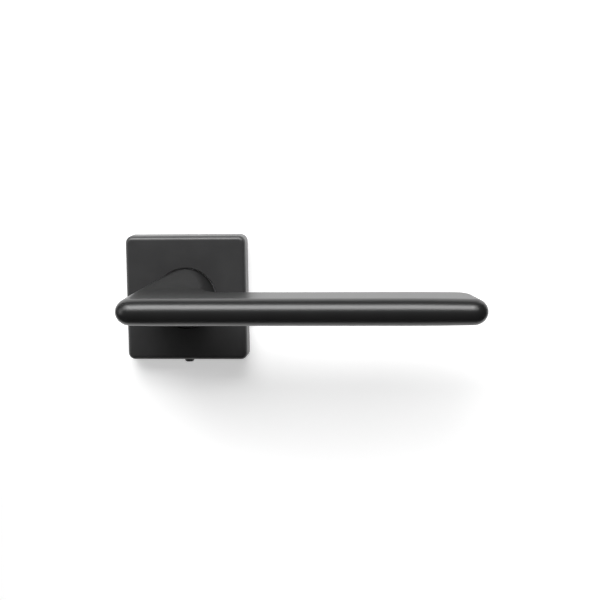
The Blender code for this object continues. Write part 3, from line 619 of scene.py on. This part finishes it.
def make_base_plate():
    """The cast plate: a chamfered block with a recess, the spring chamber and two bolt spigots."""
    chamfer = BASE_CHAMFER
    whole = rounded(BASE_WIDTH, BASE_HEIGHT, BASE_CORNER)
    drawn_in = rounded(BASE_WIDTH - 2.0 * chamfer, BASE_HEIGHT - 2.0 * chamfer, BASE_CORNER - chamfer)
    base = skin("rose_base", [at_depth(drawn_in, 0.0), at_depth(whole, chamfer),
                              at_depth(whole, BASE_DEPTH)])
    cutters = [prism("recess", rounded(RECESS_SIDE, RECESS_SIDE, BASE_CORNER), -OVERCUT, RECESS_DEPTH),
               prism("chamber", chamber_outline(), 0.0, CHAMBER_TOP),
               prism("web_hole", circle(WEB_HOLE_RADIUS), 0.0, BASE_DEPTH + OVERCUT)]
    carve(base, cutters=cutters)
    spigots = []
    bolts = (-BOLT_OFFSET, BOLT_OFFSET)
    for x in bolts:
        profile = [(SPIGOT_RADIUS - SPIGOT_CHAMFER, -SPIGOT_REACH),
                   (SPIGOT_RADIUS, SPIGOT_CHAMFER - SPIGOT_REACH),
                   (SPIGOT_RADIUS, RECESS_DEPTH + OVERCUT)]
        spigots.append(moved(rod("spigot", profile), at(x)))
    holes = [countersunk_hole("bolt_hole", THROUGH_BOLT, BOLT_HOLE_RADIUS, x, 0.0) for x in bolts]
    holes += [countersunk_hole("corner_hole", WOOD_SCREW, CORNER_HOLE_RADIUS, x, z)
              for x, z in corner_places().values()]
    holes += [plate_screw_hole("plate_hole", z, PLATE_SCREW["length"] + OVERCUT)
              for z in (CORNER_OFFSET, -CORNER_OFFSET)]
    screw_end = COVER_SCREW_LENGTH + OVERCUT
    screw_hole = rod("screw_hole", [(COVER_SCREW_HOLE, 0.0), (COVER_SCREW_HOLE, screw_end)])
    holes.append(moved(screw_hole, at(0.0, COVER_SCREW_DEPTH, -ROSE_HEIGHT / 2.0 - OVERCUT) @ UPWARD))
    return carve(base, joined=spigots, cutters=holes)


def make_back_plate():
    outline = rounded(BACK_PLATE_SIDE, BACK_PLATE_SIDE, BASE_CORNER)
    plate = prism("rose_back_plate", outline, BACK_PLATE_FROM, BACK_PLATE_TO)
    through = BACK_PLATE_TO + OVERCUT
    cutters = [prism("bore", circle(BACK_PLATE_BORE), -OVERCUT, through)]
    notch = SPIGOT_RADIUS + SCREW_CLEARANCE
    for x in (-BOLT_OFFSET, BOLT_OFFSET):
        cutters.append(moved(rod("notch", [(notch, -OVERCUT), (notch, through)]), at(x)))
    for x, z in corner_places().values():
        hole = rod("corner_hole", [(CORNER_HOLE_RADIUS, -OVERCUT), (CORNER_HOLE_RADIUS, through)])
        cutters.append(moved(hole, at(x, 0.0, z)))
    cutters += [plate_screw_hole("sink", z, 2.0 * OVERCUT) for z in (CORNER_OFFSET, -CORNER_OFFSET)]
    return carve(plate, cutters=cutters)


# ----------------------------------------------------------------------------- spindle, rotor and springs

def make_spindle():
    """A square bar with rounded edges and chamfered ends, and a clip groove just inside the door."""
    chamfer = SPINDLE_CHAMFER
    small = SPINDLE_SIDE - 2.0 * chamfer
    profile = [(small, -SPINDLE_REACH), (SPINDLE_SIDE, -SPINDLE_REACH + chamfer),
               (SPINDLE_SIDE, -CLIP_GROOVE_TO), (CLIP_GROOVE_BOTTOM, -CLIP_GROOVE_TO),
               (CLIP_GROOVE_BOTTOM, -CLIP_GROOVE_FROM), (SPINDLE_SIDE, -CLIP_GROOVE_FROM),
               (SPINDLE_SIDE, SPINDLE_INNER_DEPTH - chamfer), (small, SPINDLE_INNER_DEPTH)]
    return skin("square_spindle", [at_depth(rounded(side, side, SPINDLE_EDGE, RIM_STEPS), depth)
                                   for side, depth in profile])


def make_set_screw():
    radius = SET_SCREW_RADIUS
    sections = [at_depth(circle(radius - SET_SCREW_POINT, SCREW_STEPS), 0.0)]
    sections += thread(radius, radius, SET_SCREW_POINT, SET_SCREW_LENGTH, SET_SCREW_PITCH, SET_SCREW_THREAD)
    screw = skin("neck_set_screw", sections)
    socket_from = SET_SCREW_LENGTH - SET_SCREW_SOCKET_DEPTH
    socket = prism("socket", regular(SET_SCREW_SOCKET, 6), socket_from, SET_SCREW_LENGTH + OVERCUT)
    carve(screw, cutters=(socket,))
    return moved(screw, at(0.0, SET_SCREW_DEPTH, -SPINDLE_SIDE / 2.0 - SET_SCREW_GAP) @ DOWNWARD)


def make_rotor():
    rotor = prism("spring_rotor", circle(ROTOR_RADIUS), ROTOR_FROM, ROTOR_TO)
    joined = []
    for start in ear_starts().values():
        end = start - EAR_ANGLE
        ear = ring_sector(EAR_INNER_RADIUS, EAR_OUTER_RADIUS, end, start, EDGE_STEPS)
        joined.append(prism("ear", ear, ROTOR_FROM, ROTOR_TO))
        tooth = ring_sector(LUG_RADIUS, EAR_OUTER_RADIUS - TOOTH_INSET, end + TOOTH_INSET_ANGLE,
                            start - TOOTH_INSET_ANGLE, EDGE_STEPS)
        joined.append(prism("tooth", tooth, EAR_FROM, ROTOR_FROM + TOOTH_OVERLAP))
    bore = double_d(SHANK_RADIUS + ROTOR_CLEARANCE, SHANK_FLAT + ROTOR_CLEARANCE)
    return carve(rotor, joined=joined, cutters=(prism("rotor_bore", bore, 0.0, 2.0 * ROTOR_TO),))


def make_retaining_ring():
    start = -QUARTER + RING_GAP / 2.0
    end = start + 2.0 * math.pi - RING_GAP
    ring = prism("open_ring", ring_sector(RING_INNER_RADIUS, RING_OUTER_RADIUS, start, end, ROUND_STEPS),
                 RING_FROM, RING_TO)
    eye_path = (RING_INNER_RADIUS + RING_OUTER_RADIUS) / 2.0
    eyes = []
    for angle in (start + RING_EYE_INSET, end - RING_EYE_INSET):
        eye = rod("eye", [(RING_EYE_RADIUS, 0.0), (RING_EYE_RADIUS, 2.0 * RING_TO)], ROUND_STEPS // 4)
        eyes.append(moved(eye, at(eye_path * math.cos(angle), 0.0, eye_path * math.sin(angle))))
    return carve(ring, cutters=eyes)


def ear_starts():
    first = QUARTER - LUG_HALF_ANGLE - EAR_GAP
    return {"right": first, "left": first + math.pi}


def spring_wire(start, end, t):
    """The wire's centre and the direction out from the coil, at a share t of its way from start to end."""
    margin = SPRING_WIRE_RADIUS / SPRING_PATH_RADIUS
    along = start - margin + (end - start + 2.0 * margin) * t
    coil = 2.0 * math.pi * SPRING_TURNS * t
    radius = SPRING_PATH_RADIUS + SPRING_COIL_RADIUS * math.cos(coil)
    depth = SPRING_DEPTH + SPRING_COIL_RADIUS * math.sin(coil)
    centre = Vector((radius * math.cos(along), -depth, radius * math.sin(along)))
    outward = Vector((math.cos(coil) * math.cos(along), -math.sin(coil), math.cos(coil) * math.sin(along)))
    return centre, outward


def make_spring(side, ear_start):
    """A compression spring bent along the chamber, whose near end starts at the rotor's ear."""
    start = ear_start - EAR_ANGLE - EAR_GAP
    end = ear_start - math.pi + 2.0 * LUG_HALF_ANGLE + 2.0 * EAR_GAP
    steps = SPRING_TURNS * SPRING_STEPS_PER_TURN
    turns = [2.0 * math.pi * k / SPRING_WIRE_SIDES for k in range(SPRING_WIRE_SIDES)]
    sections = []
    for i in range(steps + 1):
        t = i / steps
        centre, outward = spring_wire(start, end, t)
        ahead = spring_wire(start, end, t + SPRING_PROBE)[0]
        behind = spring_wire(start, end, t - SPRING_PROBE)[0]
        heading = (ahead - behind).normalized()
        across_wire = heading.cross(outward).normalized()
        outward = across_wire.cross(heading).normalized()
        sections.append([centre + (outward * math.cos(a) + across_wire * math.sin(a)) * SPRING_WIRE_RADIUS
                         for a in turns])
    spring = skin(f"coil_spring_{side}", sections)
    still = Vector((0.0, 0.0, SPRING_PATH_RADIUS * math.sin(end)))
    driven = Vector((0.0, 0.0, SPRING_PATH_RADIUS * math.sin(start)))
    return spring, still, driven


# ----------------------------------------------------------------------------------------------- screws

def thread(radius, end_radius, depth_from, depth_to, pitch, height):
    """Rings whose radius winds in and out along a helix, from one depth to another."""
    count = max(round(abs(depth_to - depth_from) / pitch * STEPS_PER_PITCH), 2)
    rings = []
    for i in range(count + 1):
        t = i / count
        depth = depth_from + (depth_to - depth_from) * t
        crest = radius + (end_radius - radius) * t
        run_in = min(i / STEPS_PER_PITCH, 1.0)
        groove = min(height, crest / 2.0) * run_in
        points = []
        for k in range(SCREW_STEPS):
            wave = 0.5 + 0.5 * math.cos(2.0 * math.pi * (depth / pitch - k / SCREW_STEPS))
            turn = 2.0 * math.pi * (k + 0.5) / SCREW_STEPS
            out = crest - groove * wave
            points.append((out * math.cos(turn), out * math.sin(turn)))
        rings.append(at_depth(points, depth))
    return rings


def make_screw(name, size, sides=6):
    """A countersunk threaded screw along the spindle's axis, with the top of its head at depth 0."""
    head = [at_depth(circle(size["head"], SCREW_STEPS), depth) for depth in (0.0, -HEAD_RIM)]
    shank_end = -size["length"] + size["tip"]
    body = thread(size["shank"], size["shank"], -size["cone"], shank_end, size["pitch"], size["thread"])
    tip = thread(size["shank"], size["tip_radius"], shank_end, -size["length"], size["pitch"] / TIP_TURNS,
                 size["thread"])
    screw = skin(name, head + body + tip[1:])
    socket = prism("socket", regular(size["socket"], sides), -size["socket_depth"], OVERCUT)
    return carve(screw, cutters=(socket,))


# ---------------------------------------------------------------------------------------------- finishes

# Noise seldom leaves this range, so a ramp spans it
NOISE_LOW = 0.3
NOISE_HIGH = 0.7
COAT_SPECULAR = 0.62
COAT_ROUGHNESS_SPREAD = 0.02


class Finish:
    """A Principled material whose colour, roughness and bump vary with procedural noise."""

    def __init__(self, name, metallic=0.0):
        self.material = bpy.data.materials.new(name)
        self.material.use_nodes = True
        self.tree = self.material.node_tree
        self.shader = self.tree.nodes["Principled BSDF"]
        self.shader.inputs["Metallic"].default_value = metallic
        self.place = self.tree.nodes.new("ShaderNodeTexCoord").outputs["Object"]
        self.normal = None

    def link(self, output, target):
        self.tree.links.new(output, target)

    def stretched(self, scale):
        mapping = self.tree.nodes.new("ShaderNodeMapping")
        mapping.inputs["Scale"].default_value = scale
        self.link(self.place, mapping.inputs["Vector"])
        return mapping.outputs["Vector"]

    def noise(self, size, detail=2.0, stretch=None):
        """Noise between 0 and 1 whose lumps are about `size` metres across."""
        node = self.tree.nodes.new("ShaderNodeTexNoise")
        node.inputs["Scale"].default_value = 1.0 / size
        node.inputs["Detail"].default_value = detail
        self.link(self.stretched(stretch) if stretch else self.place, node.inputs["Vector"])
        return node.outputs["Fac"]

    def ramp(self, value, low, high):
        """Maps the noise to a number between low and high, or to a colour between two colours."""
        if isinstance(low, tuple):
            node = self.tree.nodes.new("ShaderNodeValToRGB")
            first, last = node.color_ramp.elements
            first.position, last.position = NOISE_LOW, NOISE_HIGH
            first.color, last.color = (*low, 1.0), (*high, 1.0)
            self.link(value, node.inputs["Fac"])
            return node.outputs["Color"]
        node = self.tree.nodes.new("ShaderNodeMapRange")
        node.inputs["From Min"].default_value = NOISE_LOW
        node.inputs["From Max"].default_value = NOISE_HIGH
        node.inputs["To Min"].default_value = low
        node.inputs["To Max"].default_value = high
        self.link(value, node.inputs["Value"])
        return node.outputs["Result"]

    def bump(self, height, distance):
        node = self.tree.nodes.new("ShaderNodeBump")
        node.inputs["Distance"].default_value = distance
        self.link(height, node.inputs["Height"])
        if self.normal:
            self.link(self.normal, node.inputs["Normal"])
        self.normal = node.outputs["Normal"]

    def finish(self, colour, roughness):
        self.link(colour, self.shader.inputs["Base Color"])
        self.link(roughness, self.shader.inputs["Roughness"])
        if self.normal:
            self.link(self.normal, self.shader.inputs["Normal"])
        return self.material


def black_coat(name, shade, roughness):
    """Fine satin coat: a faint orange peel under a tight grain, a little paler in soft patches."""
    made = Finish(name)
    made.shader.inputs["Specular IOR Level"].default_value = COAT_SPECULAR
    cloud = made.noise(9.0 * MM, 3.0)
    grain = made.noise(0.22 * MM, 2.0)
    made.bump(made.noise(1.6 * MM, 1.0), 0.004 * MM)
    made.bump(grain, 0.003 * MM)
    paler = shade * 1.2
    colour = made.ramp(cloud, (shade, shade, shade * 1.02), (paler, paler, paler * 1.02))
    spread = COAT_ROUGHNESS_SPREAD
    return made.finish(colour, made.ramp(grain, roughness - spread, roughness + spread))


def black_steel():
    made = Finish("black_oxide_steel", 1.0)
    cloud = made.noise(0.9 * MM, 3.0)
    made.bump(made.noise(0.12 * MM, 2.0), 0.003 * MM)
    colour = made.ramp(cloud, (0.045, 0.043, 0.042), (0.085, 0.085, 0.09))
    return made.finish(colour, made.ramp(cloud, 0.30, 0.42))


def zinc_plate():
    made = Finish("zinc_plated_steel", 1.0)
    cloud = made.noise(5.0 * MM, 3.0)
    drawn = made.noise(0.25 * MM, 2.0, stretch=(1.0, 0.04, 1.0))
    made.bump(drawn, 0.004 * MM)
    colour = made.ramp(cloud, (0.56, 0.57, 0.60), (0.66, 0.65, 0.60))
    return made.finish(colour, made.ramp(drawn, 0.30, 0.42))


def cast_zinc():
    made = Finish("cast_zinc", 1.0)
    cloud = made.noise(4.0 * MM, 4.0)
    made.bump(made.noise(0.5 * MM, 4.0), 0.02 * MM)
    colour = made.ramp(cloud, (0.42, 0.42, 0.43), (0.54, 0.54, 0.55))
    return made.finish(colour, made.ramp(cloud, 0.38, 0.54))


def spring_steel():
    made = Finish("spring_steel", 1.0)
    drawn = made.noise(0.4 * MM, 3.0)
    made.bump(drawn, 0.004 * MM)
    colour = made.ramp(drawn, (0.24, 0.25, 0.27), (0.34, 0.34, 0.36))
    return made.finish(colour, made.ramp(drawn, 0.22, 0.34))


def nylon():
    made = Finish("nylon")
    grain = made.noise(0.3 * MM, 2.0)
    made.bump(grain, 0.008 * MM)
    cloud = made.noise(3.0 * MM, 2.0)
    made.shader.inputs["Subsurface Weight"].default_value = 0.1
    made.shader.inputs["Subsurface Radius"].default_value = (MM, MM, MM)
    colour = made.ramp(cloud, (0.74, 0.73, 0.68), (0.80, 0.79, 0.75))
    return made.finish(colour, made.ramp(grain, 0.44, 0.56))


def dress(obj, material):
    obj.data.materials.clear()
    obj.data.materials.append(material)


# ------------------------------------------------------------------------------------------------ pieces

# The lever and the rose wear one black coat. The rose's copy has a base colour about three times paler than
# the lever's. That is painted light, standing in for the brighter light on the rose's front.
LEVER_COAT = black_coat("black_coat", 0.009, 0.32)
ROSE_COAT_PAINTED_LIGHTER = black_coat("black_coat_rose_painted_lighter", 0.029, 0.38)
BLACK_STEEL = black_steel()
PLATED = zinc_plate()
CAST = cast_zinc()
SPRING = spring_steel()
NYLON = nylon()

CAD_FINISHES = {
    LEVER_COAT: ("lever",),
    ROSE_COAT_PAINTED_LIGHTER: ("cover_rose",),
    BLACK_STEEL: ("cover_screw", "spindle_set_screw"),
    PLATED: ("spindle", "back_plate", "back_plate_screw_top", "back_plate_screw_bottom",
             "through_bolt_left", "through_bolt_right", "wood_screw_upper_left", "wood_screw_upper_right",
             "wood_screw_lower_left", "wood_screw_lower_right"),
    CAST: ("base_plate", "rotor"),
    NYLON: ("bearing_bush", "thrust_washer"),
    SPRING: ("retaining_ring", "return_spring_left", "return_spring_right"),
}


def stand_for(piece, node, body, material):
    dress(piece, material)
    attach(piece, body)
    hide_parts(node)


for material, nodes in CAD_FINISHES.items():
    for node in nodes:
        dress(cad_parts[node], material)

stand_for(make_lever(), "lever", "lever", LEVER_COAT)
stand_for(make_cover(), "cover_rose", "rose", ROSE_COAT_PAINTED_LIGHTER)
stand_for(make_cover_screw(), "cover_screw", "rose", BLACK_STEEL)
stand_for(make_base_plate(), "base_plate", "rose", CAST)
stand_for(make_back_plate(), "back_plate", "rose", PLATED)
stand_for(make_spindle(), "spindle", "lever", PLATED)
stand_for(make_set_screw(), "spindle_set_screw", "lever", BLACK_STEEL)
stand_for(make_rotor(), "rotor", "lever", CAST)
stand_for(make_retaining_ring(), "retaining_ring", "lever", SPRING)
washer = lathe("thin_washer", [(BUSH_BORE, WASHER_FROM), (WASHER_RADIUS, WASHER_FROM),
                               (WASHER_RADIUS, WASHER_TO), (BUSH_BORE, WASHER_TO)])
stand_for(washer, "thrust_washer", "lever", NYLON)
bush = lathe("flanged_bush", [(BUSH_BORE, BUSH_FROM), (BUSH_RADIUS, BUSH_FROM),
                              (BUSH_RADIUS, BUSH_FLANGE_FROM), (BUSH_FLANGE_RADIUS, BUSH_FLANGE_FROM),
                              (BUSH_FLANGE_RADIUS, BUSH_TO), (BUSH_BORE, BUSH_TO)])
stand_for(bush, "bearing_bush", "rose", NYLON)

for side, x in (("left", -BOLT_OFFSET), ("right", BOLT_OFFSET)):
    bolt = moved(make_screw(f"threaded_bolt_{side}", THROUGH_BOLT), at(x, BASE_DEPTH))
    stand_for(bolt, f"through_bolt_{side}", "rose", PLATED)
for corner, (x, z) in corner_places().items():
    screw = moved(make_screw(f"threaded_screw_{corner}", WOOD_SCREW, sides=4), at(x, BASE_DEPTH, z))
    stand_for(screw, f"wood_screw_{corner}", "rose", PLATED)
for end, z in (("top", CORNER_OFFSET), ("bottom", -CORNER_OFFSET)):
    turned_round = at(0.0, BACK_PLATE_FROM, z) @ Matrix.Rotation(math.pi, 4, "X")
    screw = moved(make_screw(f"small_screw_{end}", PLATE_SCREW), turned_round)
    stand_for(screw, f"back_plate_screw_{end}", "rose", PLATED)
for side, ear_start in ear_starts().items():
    spring, still, driven = make_spring(side, ear_start)
    dress(spring, SPRING)
    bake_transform(spring)
    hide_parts(f"return_spring_{side}")


# ------------------------------------------------------------------------------------------------- stage

WALL_GAP = 0.1 * MM
WALL_LEFT = -0.085
WALL_RIGHT = 0.182
WALL_TOP = 0.137
WALL_BOTTOM = -1.2
WALL_OPENING = 23.5 * MM
WALL_WHITE = 0.82
WALL_GLOW = 0.46
WALL_ROUGHNESS = 0.9
WALL_SPECULAR = 0.2


def make_wall():
    """A white wall just behind the rose, open where the door's cut-out would be and clear from behind."""
    bm = bmesh.new()
    edges = ((WALL_LEFT, WALL_BOTTOM), (WALL_RIGHT, WALL_BOTTOM),
             (WALL_RIGHT, WALL_TOP), (WALL_LEFT, WALL_TOP))
    opening = [(x * WALL_OPENING, z * WALL_OPENING) for x, z in ((-1, -1), (1, -1), (1, 1), (-1, 1))]
    outer = [bm.verts.new((x, WALL_GAP, z)) for x, z in edges]
    inner = [bm.verts.new((x, WALL_GAP, z)) for x, z in opening]
    for i in range(4):
        j = (i + 1) % 4
        bm.faces.new((outer[i], outer[j], inner[j], inner[i]))
    mesh = bpy.data.meshes.new("wall")
    bm.to_mesh(mesh)
    bm.free()
    wall = bpy.data.objects.new("wall", mesh)
    bpy.context.scene.collection.objects.link(wall)
    paint = bpy.data.materials.new("wall_paint")
    paint.use_nodes = True
    tree = paint.node_tree
    shader = tree.nodes["Principled BSDF"]
    shader.inputs["Base Color"].default_value = (WALL_WHITE, WALL_WHITE, WALL_WHITE, 1.0)
    shader.inputs["Emission Color"].default_value = (1.0, 1.0, 1.0, 1.0)
    shader.inputs["Emission Strength"].default_value = WALL_GLOW
    shader.inputs["Roughness"].default_value = WALL_ROUGHNESS
    shader.inputs["Specular IOR Level"].default_value = WALL_SPECULAR
    clear = tree.nodes.new("ShaderNodeBsdfTransparent")
    facing = tree.nodes.new("ShaderNodeNewGeometry")
    mix = tree.nodes.new("ShaderNodeMixShader")
    tree.links.new(facing.outputs["Backfacing"], mix.inputs["Fac"])
    tree.links.new(shader.outputs["BSDF"], mix.inputs[1])
    tree.links.new(clear.outputs["BSDF"], mix.inputs[2])
    tree.links.new(mix.outputs["Shader"], tree.nodes["Material Output"].inputs["Surface"])
    mesh.materials.append(paint)


make_wall()


# ------------------------------------------------------------------------------------------------- light

LIGHT_AIM = Vector((0.04, -0.02, 0.0))
KEY_AZIMUTH = -9.0
KEY_DISTANCE = 1.3
KEY_HEIGHT = 0.76
WING_TURN = 44.0
WORLD_LOW = -0.6
WORLD_HIGH = 0.8
STRENGTH_BELOW = 0.10
STRENGTH_ABOVE = 0.14


def toward(azimuth, elevation):
    """A unit vector from the object: azimuth 0 is straight out from the door, 90 is towards +X."""
    a, e = math.radians(azimuth), math.radians(elevation)
    return Vector((math.sin(a) * math.cos(e), -math.cos(a) * math.cos(e), math.sin(e)))


def softbox(name, azimuth, elevation, distance, width, height, power):
    """A rectangular light aimed at the handle, unseen by the camera."""
    data = bpy.data.lights.new(name, "AREA")
    data.shape = "RECTANGLE"
    data.size = width
    data.size_y = height
    data.energy = power
    light = bpy.data.objects.new(name, data)
    bpy.context.scene.collection.objects.link(light)
    back = toward(azimuth, elevation)
    light.location = LIGHT_AIM + back * distance
    light.rotation_mode = "QUATERNION"
    light.rotation_quaternion = (-back).to_track_quat("-Z", "Y")
    light.visible_camera = False


def make_world():
    """Pale studio surroundings, brighter above than below, with a plain pale colour for the camera."""
    world = bpy.data.worlds.new("studio")
    world.use_nodes = True
    tree = world.node_tree
    tree.nodes.clear()
    place = tree.nodes.new("ShaderNodeTexCoord")
    split = tree.nodes.new("ShaderNodeSeparateXYZ")
    ramp = tree.nodes.new("ShaderNodeMapRange")
    ramp.inputs["From Min"].default_value = WORLD_LOW
    ramp.inputs["From Max"].default_value = WORLD_HIGH
    ramp.inputs["To Min"].default_value = STRENGTH_BELOW
    ramp.inputs["To Max"].default_value = STRENGTH_ABOVE
    around = tree.nodes.new("ShaderNodeBackground")
    seen = tree.nodes.new("ShaderNodeBackground")
    seen.inputs["Color"].default_value = (1.0, 1.0, 1.0, 1.0)
    path = tree.nodes.new("ShaderNodeLightPath")
    mix = tree.nodes.new("ShaderNodeMixShader")
    out = tree.nodes.new("ShaderNodeOutputWorld")
    tree.links.new(place.outputs["Generated"], split.inputs["Vector"])
    tree.links.new(split.outputs["Z"], ramp.inputs["Value"])
    tree.links.new(ramp.outputs["Result"], around.inputs["Strength"])
    tree.links.new(path.outputs["Is Camera Ray"], mix.inputs["Fac"])
    tree.links.new(around.outputs["Background"], mix.inputs[1])
    tree.links.new(seen.outputs["Background"], mix.inputs[2])
    tree.links.new(mix.outputs["Shader"], out.inputs["Surface"])
    bpy.context.scene.world = world


softbox("key", KEY_AZIMUTH, elevation=47.5, distance=KEY_DISTANCE, width=1.0, height=KEY_HEIGHT, power=19.5)
for wing, turn in (("key_left", -WING_TURN), ("key_right", WING_TURN)):
    softbox(wing, KEY_AZIMUTH + turn, elevation=41.5, distance=KEY_DISTANCE, width=0.6, height=KEY_HEIGHT,
            power=4.8)
softbox("side_fill", azimuth=-75.0, elevation=8.0, distance=1.4, width=0.6, height=0.8, power=2.5)
softbox("behind", azimuth=150.0, elevation=35.0, distance=1.2, width=0.8, height=0.8, power=12.0)
make_world()
bpy.context.scene.view_settings.view_transform = "Standard"


# ------------------------------------------------------------------------------------------------ camera

CAMERA_AZIMUTH = 6.5
CAMERA_ELEVATION = 7.65
CAMERA_ROLL = math.radians(-0.97)
CAMERA_DISTANCE = 0.85
CAMERA_LENS = 119.9
CAMERA_SENSOR = 36.0
CAMERA_NEAR = 0.02
CAMERA_FAR = 20.0
CAMERA_AIM = Vector((47.6 * MM, 0.0, -2.0 * MM))


def make_camera():
    back = toward(CAMERA_AZIMUTH, CAMERA_ELEVATION)
    azimuth = math.radians(CAMERA_AZIMUTH)
    level = Vector((math.cos(azimuth), math.sin(azimuth), 0.0))
    upright = back.cross(level)
    right = level * math.cos(CAMERA_ROLL) + upright * math.sin(CAMERA_ROLL)
    up = back.cross(right)
    data = bpy.data.cameras.new("camera")
    data.lens = CAMERA_LENS
    data.sensor_width = CAMERA_SENSOR
    data.clip_start = CAMERA_NEAR
    data.clip_end = CAMERA_FAR
    camera = bpy.data.objects.new("camera", data)
    bpy.context.scene.collection.objects.link(camera)
    turn = Matrix((right, up, back)).transposed().to_4x4()
    camera.matrix_world = Matrix.Translation(CAMERA_AIM + back * CAMERA_DISTANCE) @ turn
    bpy.context.scene.camera = camera


make_camera()
